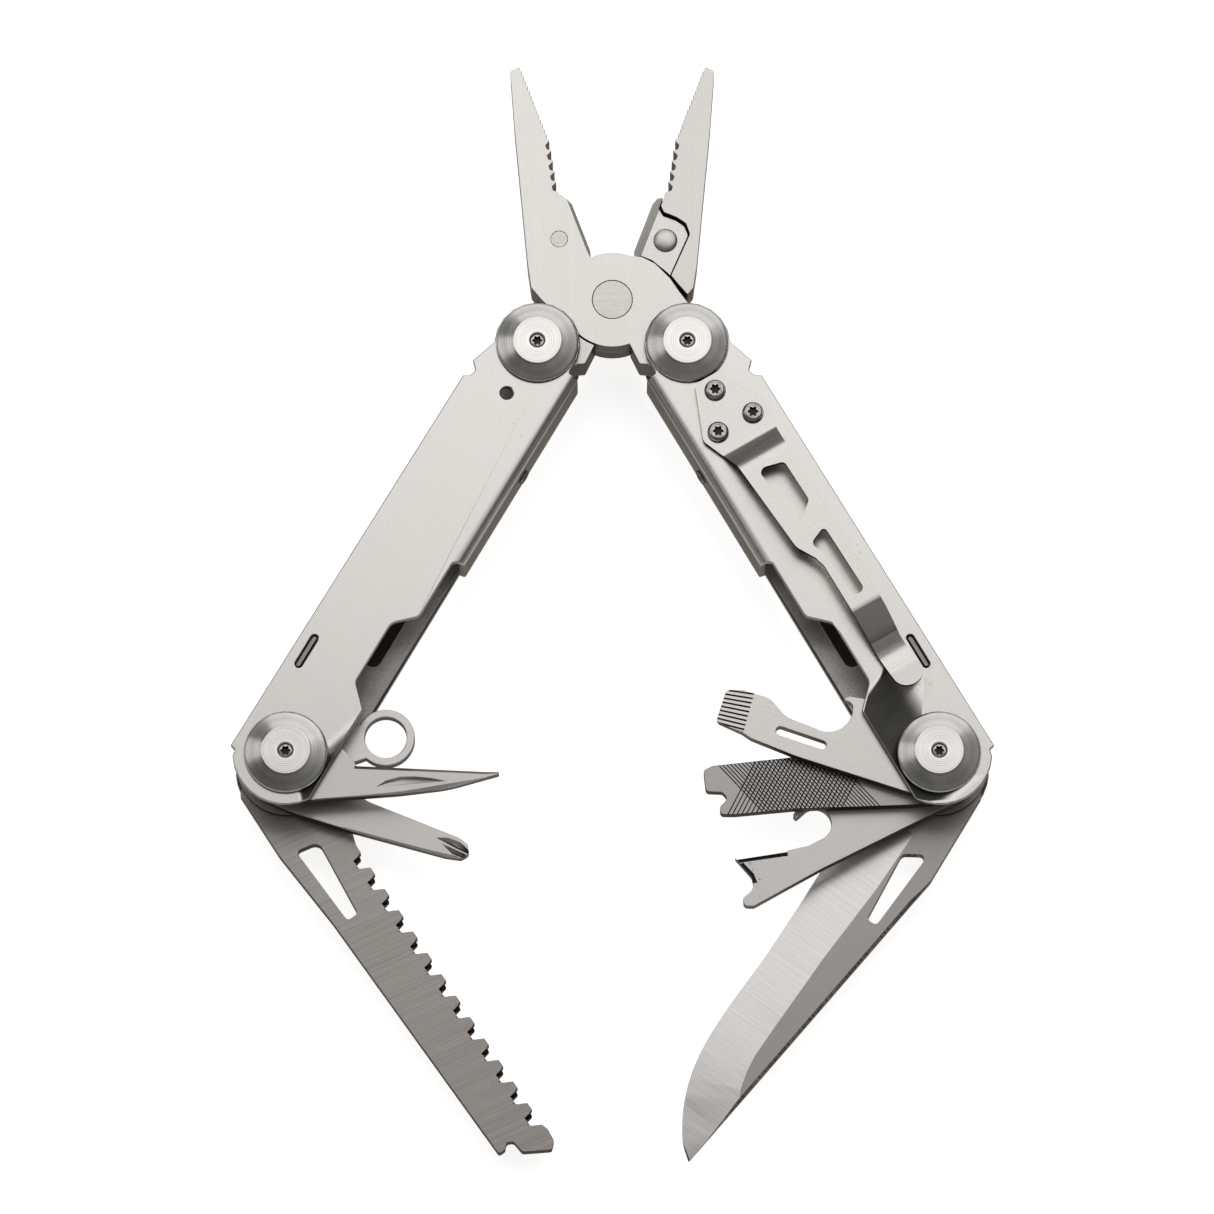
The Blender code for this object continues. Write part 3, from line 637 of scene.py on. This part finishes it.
def soft_light(name, place, size, watts):
    """A rectangular lamp that faces the middle of the tool."""
    lamp = bpy.data.lights.new(name, "AREA")
    lamp.shape = "RECTANGLE"
    lamp.size, lamp.size_y = size
    lamp.energy = watts
    made = bpy.data.objects.new(name, lamp)
    made.location = place
    made.rotation_euler = (LIGHTS_AIM - Vector(place)).to_track_quat("-Z", "Y").to_euler()
    bpy.context.scene.collection.objects.link(made)


def make_camera():
    """The photo's view: from the front, leaning back by tilt, with view_width across the picture."""
    tilt = math.radians(15.2)
    distance, view_width, sensor = 1.5, 0.221533, 36
    target = Vector((-0.00098, -0.00153, 0.0154))
    lens = bpy.data.cameras.new("camera")
    lens.sensor_width = sensor
    lens.lens = sensor * distance / view_width
    camera = bpy.data.objects.new("camera", lens)
    camera.location = target + Vector((0, -math.sin(tilt), math.cos(tilt))) * distance
    camera.rotation_euler = (tilt, 0, 0)
    bpy.context.scene.collection.objects.link(camera)
    bpy.context.scene.camera = camera


# ---------------------------------------------------------------- turned pieces

CAP = (16.8, 18.9)      # heights of a cap's underside and top
HEAD_TOP = 1.9          # of the broad rear head on each barrel
BARREL_TOP = 16.7
PIVOT_SOCKET = 0.95     # radius of the socket in a pivot's screw
PIVOT_SCREW_TOP = 18.45


def rippled(start, end, waves, height):
    """Points along a slope in a turned profile, with shallow machining rings on it."""
    a, b = Vector(start), Vector(end)
    across = Vector((b.y - a.y, a.x - b.x)).normalized()
    points = []
    for i in range(2 * waves + 1):
        lift = height if i % 2 and 0 < i < 2 * waves else 0.0
        points.append(tuple(a.lerp(b, i / (2 * waves)) - across * lift))
    return points


def cap_profile():
    low, high = CAP
    return ([(1.3, low), (1.3, high - 0.22), (1.52, high), (4.35, high), (4.55, high - 0.07)]
            + rippled((4.75, high - 0.2), (7.25, low + 0.78), 16, 0.012)
            + [(7.45, low + 0.68), (7.56, low + 0.52), (7.6, low + 0.3), (7.6, low + 0.06), (7.54, low)])


def barrel_profile():
    """A broad rear head with a bored barrel on it."""
    bore, floor = 1.2, 9.6
    return ([(0.0, 0.0), (4.2, 0.0), (4.45, 0.08), (4.65, 0.22)]
            + rippled((4.8, 0.4), (7.3, 1.18), 16, -0.012)
            + [(7.5, 1.26), (7.6, 1.42), (7.6, HEAD_TOP - 0.1), (7.5, HEAD_TOP), (3.0, HEAD_TOP),
               (3.0, BARREL_TOP), (bore, BARREL_TOP), (bore, floor), (0.0, floor)])


def socketed(name, profile, place, radius, top, depth, crease=35.0):
    """A turned screw with a six-lobed socket sunk into its head."""
    mesh = finish_mesh(name, spun(name, profile, place, 64), crease)
    return carved(mesh, sheet(star(radius), [], top - depth, top + 1, 0.01, place, 0))


def pivot_screw(name, place):
    """A slightly domed screw that stands inside a cap."""
    radius, bottom, top, dome, rim = 1.28, 10.0, PIVOT_SCREW_TOP, 0.12, 0.35
    edge = top - dome
    profile = [(0.0, bottom), (radius * 0.6, bottom), (radius * 0.6, edge - rim), (radius, edge - rim),
               (radius, edge)]
    steps = 6
    for i in range(1, steps + 1):
        angle = math.pi / 2 * i / steps
        profile.append((radius * math.cos(angle) ** 0.8 if i < steps else 0.0, edge + dome * math.sin(angle)))
    return socketed(name, profile, place, PIVOT_SOCKET, top, 0.9)


def make_pivots():
    """A cap, a barrel and a screw at each end of each handle."""
    for label, side in SIDES.items():
        for spot, points in (("upper", UPPER), ("lower", LOWER)):
            place = at(points[side])
            body = f"handle_{label}"
            name = f"{label}_{spot}"
            finish = turned_steel(f"{name}_turned", TURNED, 0.24, points[side])
            mesh = finish_mesh(f"{name}_cap_fine", spun("cap", cap_profile(), place, 128))
            piece(f"{name}_cap_fine", mesh, body, f"{name}_cap", finish)
            mesh = finish_mesh(f"{name}_barrel_fine", spun("barrel", barrel_profile(), place, 128))
            piece(f"{name}_barrel_fine", mesh, body, f"{name}_barrel", finish)
            mesh = pivot_screw(f"{name}_screw_fine", place)
            made = piece(f"{name}_screw_fine", mesh, body, f"{name}_screw", SCREWS)
            paint_socket_shade(made, place, PIVOT_SOCKET, PIVOT_SCREW_TOP)


def paint_socket_shade(made, place, radius, top):
    """Paints shade on the walls and floor of a screw's socket, using the screw's second finish."""
    paint(made, 1, place, lambda spot, _: spot.xy.length < radius + 0.02 and top - 1 < spot.z < top - 0.1)


# ---------------------------------------------------------------- tools

REAR_TOOL = (7.5, 9.8)          # heights of each layer of tools
MIDDLE_TOOL = (10.3, 12.5)
FRONT_TOOL = (13.0, 15.3)
BLADE_LAYER = (3.4, 6.0)
BORE_RADIUS = 3.15
TANG_RADIUS = 8.2
BORE = circle(0, 0, BORE_RADIUS)


def tang(start, end, steps=40):
    return arc(0, 0, TANG_RADIUS, start, end, steps)


def fine_tool(name, outline, holes, layer, finish, cutters=(), bevel=0.1):
    """A tool's fine mesh in place of its CAD node, with its slopes and grooves cut in."""
    blank = sheet(outline, [BORE, *holes], *layer, bevel, tool_frame(name))
    mesh = finish_mesh(f"{name}_fine", blank, 30)
    for cutter in cutters:
        mesh = carved(mesh, cutter)
    return piece(f"{name}_fine", mesh, name, name, finish)


def both_faces(stations, place, layer):
    """The same slope on the front and the rear face."""
    return [ruled(stations, place), ruled(stations, place, flip=sum(layer) / 2)]


def make_knife():
    """The long blade, ground from a line along it down to the edge, with a thumb hole."""
    place = tool_frame("knife")
    low, high = BLADE_LAYER
    edge_z = (low + high) / 2 + 0.1
    outline = rounded([(0.8, -9.9), (19.1, -9.9, 1.5), (86.2, 1.3, 0.12), (83.8, 4.1, 25), (78.6, 7.2, 30),
                       (72, 9.4, 30), (65, 10.1, 50), (57.2, 9.8, 80), (47.1, 8.9, 80), (35.1, 8.4, 80),
                       (14.5, 8.2, 0.8), (13.2, 6.6, 0.5), (11.6, 6.9, 0.3)] + tang(50, 245))
    hole = rounded([(14.9, -7.1, 0.9), (17.3, -2.9, 1.2), (31.2, -3.6, 0.8), (31.2, -5.6, 0.8)])
    grind = [((13.1, -2.8), (13.4, 8.4)), ((25, -2.2), (25, 8.5)), ((42.8, -0.4), (42, 8.9)),
             ((57.4, 0.6), (56.5, 9.9)), ((63.5, 0.95), (63.5, 10.2)), ((66.7, 0.7), (68, 10.0)),
             ((70.0, 0.0), (73, 9.3)), ((72.2, -0.9), (76.5, 8.3))]
    bevel = [((*a, high), (*b, edge_z)) for a, b in grind]
    bevel += [((79.0, 0.05, high - 0.6), (82.0, 5.5, edge_z)),
              ((86.2, 1.25, edge_z + 0.1), (86.4, 1.5, edge_z))]
    spine = [((19.0, -9.85, high), (19.1, -9.9, high - 0.05)),
             ((24, -8.55, high), (24.15, -9.1, high - 0.55)),
             ((71.5, -0.65, high), (71.7, -1.2, high - 0.6)),
             ((86.3, 1.2, high - 1.1), (86.4, 1.1, high - 1.3))]
    cutters = both_faces(bevel, place, BLADE_LAYER) + both_faces(spine, place, BLADE_LAYER)
    looks = [steel("knife_flat", (0.345, 0.325, 0.31), 0.4, heading(place), streak=0.04, blotch=0.05,
                   side=0.3),
             steel("knife_bevel", (0.58, 0.56, 0.545), 0.32, heading(place) + 84, streak=0.14, fine=0.03,
                   blotch=0.03, side=0.3),
             striped("knife_spine_stripes_and_shade", (0.14, 0.12, 0.11), 0.35, heading(place), 900)]
    made = fine_tool("knife", outline, [hole], BLADE_LAYER, looks, cutters, 0.04)
    steepest = 0.97     # of the ground slopes; anything steeper is the spine or a wall
    paint(made, 1, place, lambda _, upright: steepest <= upright < LEVEL)
    # painted shade: the spine's slopes and the blade's upright walls take the dark striped finish; the
    # stripes are grinding marks
    paint(made, 2, place, lambda _, upright: upright < steepest)


def make_saw():
    """The saw, with a stepped tip and facets ground on every tooth."""
    place = tool_frame("saw")
    high = BLADE_LAYER[1]
    deep = high - 1.1       # the lower end of the teeth's facets
    back = [(0.2, -10.2, 0.3), (13.6, -9.8, 4), (29.5, -7.8, 8), (81.7, -3.8, 0.5), (81.5, -2.4, 0.2),
            (80.5, -1.6, 0.7), (81.0, -0.4, 0.7), (83.5, 0.0, 0.8), (85.9, 4.8, 0.5), (84.6, 6.0, 0.8),
            (82.2, 6.1)]
    edge, flanks, notches = [], [], []
    for i in range(13):
        x, y = 81.0 - 4.75 * i, 5.6 - 0.19 * i
        edge += [(x, y), (x - 0.9, y - 1.9, 0.2), (x - 2.0, y - 2.0, 0.2), (x - 2.4, y - 0.6, 0.1),
                 (x - 3.1, y - 0.7, 0.1), (x - 3.3, y - 0.1)]
        flanks.append(ruled([((x - 1.35, y - 2.4, high), (x - 0.7, y - 1.6, deep)),
                             ((x - 0.75, y + 0.2, high), (x - 0.1, y + 0.2, deep))], place, 0.1))
        notches.append(ruled([((x - 2.65, y - 2.1, high), (x - 2.1, y - 2.0, deep)),
                              ((x - 3.1, y - 0.4, high), (x - 2.4, y - 0.4, deep))], place, 0.1))
    outline = rounded(back + edge + [(19.0, 3.2), (14.0, 4.6)] + tang(45, 250), 3)
    hole = rounded([(14.4, -6.8, 0.8), (15.0, -2.3, 1.6), (30.2, -3.0, 0.7), (30.4, -5.3, 0.7)])
    scribed = bar((9.0, -8.9), (13.2, 1.8), 0.16, high - 0.05, high + 1, place)
    cutters = [joined(flanks), joined(notches), scribed]
    looks = [steel("saw_flat", SAW, 0.38, heading(place) + 84, streak=0.2, fine=0.06, blotch=0.05,
                   side=0.4),
             blackened_steel_and_shade("saw_facet_shade", (0.03, 0.028, 0.026), 0.4)]
    made = fine_tool("saw", outline, [hole], BLADE_LAYER, looks, cutters, 0.04)
    # painted shade: the ground facets of the teeth take the near-black second finish
    paint(made, 1, place, lambda _, upright: 0.05 <= upright < 0.93)


def make_awl():
    """The awl, with a hollow along it and a slope down to its cutting edge."""
    place = tool_frame("awl")
    high = FRONT_TOOL[1]
    outline = rounded([(6.1, -7.9), (21.4, -5.1, 30), (30.0, -3.1, 30), (38.9, 0.5, 0.25), (38.7, 1.0, 0.2),
                       (12.8, -0.5, 0.8), (10.2, 2.0, 0.6)] + tang(35, 272))
    slope = [((12.6, -1.35, high), (12.7, -0.4, high - 1.5)), ((36.5, 0.15, high), (36.5, 1.0, high - 1.5)),
             ((38.7, 0.55, high), (38.9, 1.1, high - 1.0))]
    under = [((6.0, -7.7, high), (6.05, -7.9, high - 0.1)), ((22.0, -4.55, high), (22.1, -5.1, high - 0.5)),
             ((38.3, 0.15, high), (38.9, -0.3, high - 0.8))]
    crescent = [(16.8, -4.4), (18.6, -2.9), (21.0, -1.95), (23.8, -1.6), (26.6, -1.6), (29.5, -1.9),
                (24.0, -3.0)]
    nick = pit(crescent, [(19.0, -3.3, 0.3), (21.5, -2.35, 0.5), (24.2, -2.0, 0.5), (27.3, -1.85, 0.3)],
               high, place)
    fine_tool("awl", outline, [], FRONT_TOOL,
              steel("awl_steel", TOOL, 0.34, heading(place), blotch=0.07, side=0.4, pits=0.2),
              [ruled(slope, place), ruled(under, place), nick], 0.06)


def make_ring():
    """The lanyard ring on its tang."""
    x, y, radius, hole = 18.4, 0.7, 5.3, 3.8
    outline = [(12.2, -2.9)] + arc(x, y, radius, -142, 142, 64) + [(12.2, 4.1)] + tang(35, 325, 60)
    place = tool_frame("lanyard_ring")
    fine_tool("lanyard_ring", outline, [circle(x, y, hole, 64)], MIDDLE_TOOL,
              steel("ring_steel", (0.56, 0.54, 0.52), 0.34, heading(place), streak=0.04, blotch=0.05,
                    side=0.3, pits=0.2), (), 0.2)


def make_phillips():
    """The cross-point driver, with two flutes at its tip."""
    place = tool_frame("phillips_driver")
    high = REAR_TOOL[1]
    outline = rounded([(5.4, -8.2), (16.2, -7.0, 3), (33.6, -4.4, 2), (36.4, -3.6, 0.8), (37.4, -2.2, 0.9),
                       (36.4, -0.7, 0.8), (34.6, -0.2, 0.7), (15.4, -0.8, 6)] + tang(40, 272))
    upper = pit([(30.6, -1.9), (32.6, -1.0), (35.0, -0.9), (36.9, -1.6), (37.5, -2.35), (34.0, -2.2)],
                [(33.2, -1.6, 0.7), (36.8, -1.9, 1.1)], high, place)
    lower = pit([(32.0, -2.5), (34.4, -2.5), (37.5, -2.55), (36.8, -3.4), (34.6, -3.5)],
                [(34.3, -2.9, 0.5), (36.9, -2.9, 0.9)], high, place)
    flank = [((14.0, -7.0, high), (14.1, -7.5, high - 0.4)), ((30.0, -4.55, high), (30.1, -5.1, high - 0.5)),
             ((35.6, -3.45, high), (36.2, -4.1, high - 0.9))]
    fine_tool("phillips_driver", outline, [], REAR_TOOL,
              steel("phillips_steel", TOOL, 0.34, heading(place), blotch=0.07, side=0.4, pits=0.2),
              [upper, lower, ruled(flank, place)], 0.1)


def make_opener():
    """The bottle opener, with a grooved pry tip."""
    place = tool_frame("bottle_opener")
    high = FRONT_TOOL[1]
    foot = [(4.7, -8.2), (25.2, -7.0, 8), (33.7, -5.9, 1), (35.6, -5.2, 0.5), (40.7, -4.3, 0.9)]
    top = [(40.4, 1.9, 1.0), (37.6, 2.6, 1), (32.3, 2.3, 3), (28.6, -0.3, 5)]
    bite = arc(21.6, 3.3, 4.5, 285, 160, 24)
    hook = [(17.9, 5.3, 0.3), (19.4, 5.5, 0.2), (18.5, 6.4, 0.6), (15.0, 6.7, 4)]
    start, end = 35.3, 41.2         # of the grooved pry tip, along the tool
    groove_floor = high - 0.66
    grooves = [bar((start, -4.6 + 0.86 * i), (end, -4.5 + 0.78 * i), 0.34, groove_floor, high + 0.5, place)
               for i in range(9)]
    ramp = [((start, y, high), (end, y, high - 0.45)) for y in (-6.0, 3.4)]
    looks = [steel("opener_steel", (0.57, 0.545, 0.52), 0.34, heading(place), streak=0.04, side=0.4,
                   pits=0.15),
             blackened_steel_and_shade("opener_groove_shade", (0.06, 0.055, 0.05), 0.4)]
    made = fine_tool("bottle_opener", rounded(foot + top + bite + hook + tang(60, 272)),
                     [slot((20.9, -3.75), (28.9, -3.15), 1.6)], FRONT_TOOL, looks,
                     [joined(grooves), ruled(ramp, place, 0.05)], 0.12)
    # painted shade: the floors and walls of the grooves at the pry tip take the near-black second finish
    paint(made, 1, place, lambda spot, upright: spot.x > start + 0.1 and spot.z > groove_floor - 0.04
          and (spot.z < groove_floor + 0.06 or upright < 0.3))


def make_file():
    """The file, with crossed grooves and a notched driver tip."""
    place = tool_frame("file")
    high = MIDDLE_TOOL[1]
    notch = [(38.1, -6.6, 1), (40.6, -6.3, 1), (40.4, -4.8, 0.6), (38.8, -3.5, 0.8), (39.8, -2.2, 0.6),
             (42.7, -1.8, 0.8), (42.7, 2.2, 0.7), (41.0, 2.9, 0.8)]
    outline = rounded([(5.1, -8.2), (27.0, -6.7, 8)] + notch + [(26.5, 3.0, 30), (12, 4.2, 4)]
                      + tang(40, 272))
    depth = 0.2

    def family(first, last, count, angle):
        """Parallel grooves at an angle, in degrees, with their middles from first to last."""
        way = Vector((math.cos(math.radians(angle)), math.sin(math.radians(angle)))) * 16
        cuts = []
        for i in range(count):
            middle = Vector(first).lerp(Vector(last), i / (count - 1))
            cuts.append(bar(middle - way, middle + way, 0.36, high - depth, high + 0.3, place, 0.7))
        return joined(cuts)

    coarse = family((36.6, -1.5), (13.3, -5.4), 30, 53.5)
    fine = family((36.6, -2.5), (16.7, -4.6), 25, 123.0)
    looks = [steel("file_steel", (0.37, 0.35, 0.335), 0.36, heading(place), pits=0.15),
             blackened_steel_and_shade("file_groove_shade", (0.02, 0.019, 0.018), 0.5)]
    made = fine_tool("file", outline, [], MIDDLE_TOOL, looks, [coarse, fine], 0.08)
    groove_floor = high - depth
    # painted shade: the crossed grooves take the near-black second finish
    paint(made, 1, place,
          lambda spot, upright: groove_floor - 0.01 < spot.z < high - 0.002 and upright > 0.05)


def make_can_opener():
    """The can opener, with a hooked gullet and a sharpened end."""
    place = tool_frame("can_opener")
    high = REAR_TOOL[1]
    end = [(42.2, -8.8, 0.7), (43.8, -7.9, 0.8), (43.2, -6.5, 0.7), (40.6, -5.9, 2), (40.0, -3.7, 1.6),
           (41.1, 0.7)]
    gullet = arc(25.3, -0.2, 3.05, 278, 88, 30)
    hook = [(27.9, 2.2, 0.3), (28.1, 3.0, 0.3), (27.2, 3.8, 0.5), (25.0, 4.4, 2)]
    outline = rounded([(4.8, -8.2), (28.0, -8.2, 30)] + end + [(31.6, -2.4, 2), (28.0, -3.3, 2)] + gullet
                      + hook + [(14, 4.6, 8)] + tang(42, 272))
    strip = [((40.7, -0.45, high), (41.1, 0.75, high - 1.5)), ((32.4, -3.25, high), (31.9, -2.2, high - 1.5))]
    claw = [((39.6, -5.2, high), (40.3, -4.9, high - 0.6)), ((39.4, -3.4, high), (40.2, -3.5, high - 0.6)),
            ((40.2, -0.6, high), (41.0, -0.8, high - 0.6))]
    looks = [steel("can_opener_steel", (0.55, 0.53, 0.51), 0.38, heading(place), streak=0.03, fine=0.06,
                   side=0.4, pits=0.45),
             blackened_steel_and_shade("can_opener_slope_shade", (0.05, 0.046, 0.042), 0.35)]
    made = fine_tool("can_opener", outline, [], REAR_TOOL, looks,
                     [ruled(strip, place, 0.05), ruled(claw, place, 0.05)], 0.1)
    # painted shade: the sharpened strip's and claw's slopes take the near-black second finish
    paint(made, 1, place, lambda _, upright: 0.3 <= upright < 0.9)


# ---------------------------------------------------------------- pliers

JAW_MIDDLE = 11.4
PLIER_FRAME = Matrix.Translation((PLIER_PIN.x, PLIER_PIN.y, JAW_MIDDLE * MM))
HALF_OPEN = math.radians(20.5)      # of the jaws in the photo's pose
JAW_FRAME = {"left": PLIER_FRAME @ Matrix.Rotation(HALF_OPEN, 4, "Z"),
             "right": PLIER_FRAME @ Matrix.Rotation(-HALF_OPEN, 4, "Z") @ Matrix.Rotation(math.pi, 4, "Y")}
CUTTER_SCREW = Matrix.Translation((-5.1 * MM, 14.4 * MM, 0))


def make_pliers():
    """The pin's flush disc and the screws of the cutter inserts."""
    low, high, radius = 7.5, 15.2, 3.65
    profile = [(0.0, low), (radius - 0.09, low), (radius, low + 0.1), (radius, high - 0.06),
               (radius - 0.05, high), (0.0, high)]
    disc = steel("pin_steel", (0.56, 0.54, 0.51), 0.4, 0, streak=0.02, fine=0.12, blotch=0.05, side=0.3,
                 pits=0.15)
    piece("plier_pivot_pin_fine", finish_mesh("pin", spun("pin", profile, at(PLIER_PIN), 96)), "plier_pin",
          "plier_pivot_pin", disc)
    shank, head, front, seat = 1.55, 2.2, 3.79, -2.98
    dome = [(head * math.cos(a), seat - 0.1 - 0.7 * math.sin(a)) for a in
            [math.pi / 2 * i / 8 for i in range(1, 8)]]
    profile = [(0.0, front), (shank - 0.05, front), (shank, front - 0.05), (shank, seat), (head, seat),
               (head, seat - 0.1), *dome, (0.0, seat - 0.8)]
    for label, place in JAW_FRAME.items():
        mesh = finish_mesh("cutter_screw", spun("cutter_screw", profile, place @ CUTTER_SCREW, 64))
        piece(f"cutter_screw_{label}_fine", mesh, f"jaw_{label}", f"cutter_screw_{label}", disc)


# ---------------------------------------------------------------- pocket clip

CLIP_SCREWS = ((79.3, 0.4), (72.1, -3.4), (72.1, 4.0))      # (u, v)
CLIP_SOCKET = 1.02


def button_screw(name, place, radius, seat, top):
    """A button-head screw: a straight rim, a dome, and a six-lobed socket in a shallow dish."""
    shank, bottom, dish, rim = 0.95, 15.6, 1.25, seat + 0.22
    profile = [(0.0, bottom), (shank, bottom), (shank, seat), (radius - 0.05, seat), (radius, seat + 0.06),
               (radius, rim)]
    for i in range(1, 10):
        angle = math.pi / 2 * i / 9
        profile.append((dish + (radius - dish) * math.cos(angle), rim + (top - rim) * math.sin(angle)))
    profile += [(dish - 0.05, top - 0.03), (0.0, top - 0.03)]
    return socketed(name, profile, place, CLIP_SOCKET, top, 0.8, 40)


def make_clip():
    """The pocket clip, a bent strip cut to its plan, and the three screws that hold it."""
    frame_here = handle_frame(-1)
    upright = frame_here @ Matrix(((1, 0, 0, 0), (0, 0, -1, 0), (0, 1, 0, 0), (0, 0, 0, 1)))
    base, thick = 17.9, 1.0
    crest = base + 2.7
    upper = [(84.0, base), (67.8, base, 1.6), (63.6, crest, 3.4), (30.0, crest, 6.0), (24.0, base + 1.5, 12),
             (20.3, base + 0.16, 5.0), (16.8, base + 0.7, 5.0), (11.0, base + 2.6)]
    lower = [(u, z - thick, *[max(r + 0.3, 1.8) for r in rest]) for u, z, *rest in upper[::-1]]
    profile = rounded(upper + lower, 10)
    strip = sheet(profile, [], -12, 12, 0.0, upright, 0)
    plan = rounded([(82.2, -2.2, 1), (73.2, -6.8, 1.5), (66.8, -5.6, 1.5), (63.6, -5.3, 1.5), (28, -5.3, 3),
                    (22.0, -4.9, 3), (13.0, -5.6, 2.7), (12.6, 0.2, 2.7), (21.5, 0.6, 3), (39.8, 0.6, 2),
                    (42.0, 1.2, 2), (45.5, 3.2, 3), (64.5, 4.6, 1.5), (67.6, 5.4, 1.0), (72.0, 7.2, 1.5),
                    (82.2, 3.0, 1)], 8)
    front = rounded([(61.6, 0.8, 1.1), (60.6, -3.2, 1.0), (52.0, -3.4, 1.2), (49.5, -0.2, 1.2),
                     (49.5, 0.9, 0.8), (60.8, 1.7, 0.7)], 8)
    rear = rounded([(46.4, -3.2, 0.7), (32.3, -3.5, 1), (32.3, -1.1, 1), (40.8, -0.7, 2),
                    (44.8, 0.5, 1.1)], 8)
    holes = [circle(u, v, 1.1, 32) for u, v in CLIP_SCREWS]
    blank = sheet(plan, [front, rear, *holes], 10, 30, 0.0, frame_here, 0)
    mesh = carved(finish_mesh("pocket_clip_fine", strip, crisp=False), blank, operation="INTERSECT",
                  crisp=False)
    look = steel("clip_steel", (0.515, 0.494, 0.468), 0.24, heading(frame_here) + 90, fine=0.03,
                 blotch=0.04, side=0.16)
    slopes = steel("clip_bend_shade", (0.25, 0.232, 0.222), 0.24, heading(frame_here) + 90, fine=0.03,
                   blotch=0.04, side=0.3)
    made = piece("pocket_clip_fine", mesh, "handle_right", "pocket_clip", [look, slopes])
    # painted shade: the sloping faces of the bends take a darker copy of the clip's steel
    paint(made, 1, frame_here, lambda spot, upright: 0.2 <= upright < (0.99 if 22 < spot.x < 31 else 0.93))
    round_edges(made, 0.12)
    seat = base + 0.12
    top = seat + 0.95
    for number, (u, v) in enumerate(CLIP_SCREWS, 1):
        place = frame_here @ Matrix.Translation((u * MM, v * MM, 0))
        name = f"clip_screw_{number}"
        mesh = button_screw(name, place, 1.95, seat, top)
        made = piece(f"{name}_fine", mesh, "handle_right", name, SCREWS)
        paint_socket_shade(made, place, CLIP_SOCKET, top)


# ---------------------------------------------------------------- inside the handles

def make_inside():
    """The liners with their long windows, and turned washers."""
    for label, side in SIDES.items():
        place = handle_frame(side)
        body = f"handle_{label}"
        liner = arc(PIVOTS, 0, 7.5, -92, 84, 30) + [(PIVOTS - 2, 8.2)] + arc(0, 0, 9.3, 118, 240, 30)
        window = rounded([(23.6, 4.7, 1.6), (23.6, -4.5, 1.6), (74.0, -4.5, 1.6), (74.0, 4.7, 1.6)])
        bores = [BORE, circle(PIVOTS, 0, BORE_RADIUS)]
        mesh = finish_mesh("liner", sheet(liner, [window, *bores], 6.2, 7.2, 0.08, place))
        look = steel(f"{label}_liner_steel", (0.36, 0.335, 0.32), 0.42, heading(place), fine=0.2,
                     blotch=0.3, side=0.3, pits=0.75)
        piece(f"{label}_liner_fine", mesh, body, f"{label}_liner", look)
        for name, low in (("rear_washer", 9.9), ("middle_washer", 12.6)):
            high, rim = low + 0.3, 6.2
            profile = [(BORE_RADIUS, low), (rim - 0.05, low), (rim, low + 0.05), (rim, high - 0.05),
                       (rim - 0.05, high), (BORE_RADIUS, high)]
            mesh = finish_mesh(name, spun(name, profile, at(LOWER[side]), 64))
            piece(f"{label}_{name}_fine", mesh, body, f"{label}_{name}", INNER_STEEL)


make_pivots()
make_knife()
make_saw()
make_awl()
make_ring()
make_phillips()
make_opener()
make_file()
make_can_opener()
make_pliers()
make_clip()
make_inside()

jaw_finish = {f"jaw_{label}": steel(f"jaw_steel_{label}", colour, 0.34, 90, streak=0.04)
              for label, colour in (("left", JAW), ("right", SHADED_RIGHT_JAW))}
insert_look = steel("insert_steel", (0.60, 0.58, 0.555), 0.38, 0, streak=0.03, fine=0.1, pits=0.3)
# each side's plates, and a copy with painted shade on faces that look up, for the back plates
plate_finish = {(side, up_face_shade): steel(f"plate_{side}_{up_face_shade}", PLATE, 0.29, 90 + 30 * side, streak=0.03,
                                      fine=0.03, blotch=0.05, side=0.5, pits=0.2, up_face_shade=up_face_shade)
                for side in SIDES.values() for up_face_shade in (1.0, BACK_PLATE_INNER_SHADE)}

for node in frame["nodes"]:
    if frame["nodes"][node].hide_render:
        continue    # replaced by a piece above
    side = 1 if node.startswith("left") else -1
    if node.startswith("jaw"):
        keep(node, jaw_finish[node], 0.08)
    elif node.startswith("cutter"):
        keep(node, insert_look, 0.08)
    elif node.endswith("plate"):
        keep(node, plate_finish[side, BACK_PLATE_INNER_SHADE if node.endswith("back_plate") else 1.0], 0.28)
    else:
        keep(node, INNER_STEEL, 0.05)

make_stage()
make_world()
make_camera()
soft_light("softbox", (0.05, 0.34, 0.62), (0.9, 0.5), 1.5)
soft_light("north_card", (0.1, 0.75, 0.36), (1.1, 0.34), 0.95)
soft_light("west_card", (-0.68, 0.2, 0.58), (0.4, 0.6), 0.5)
bpy.context.scene.view_settings.view_transform = "Standard"
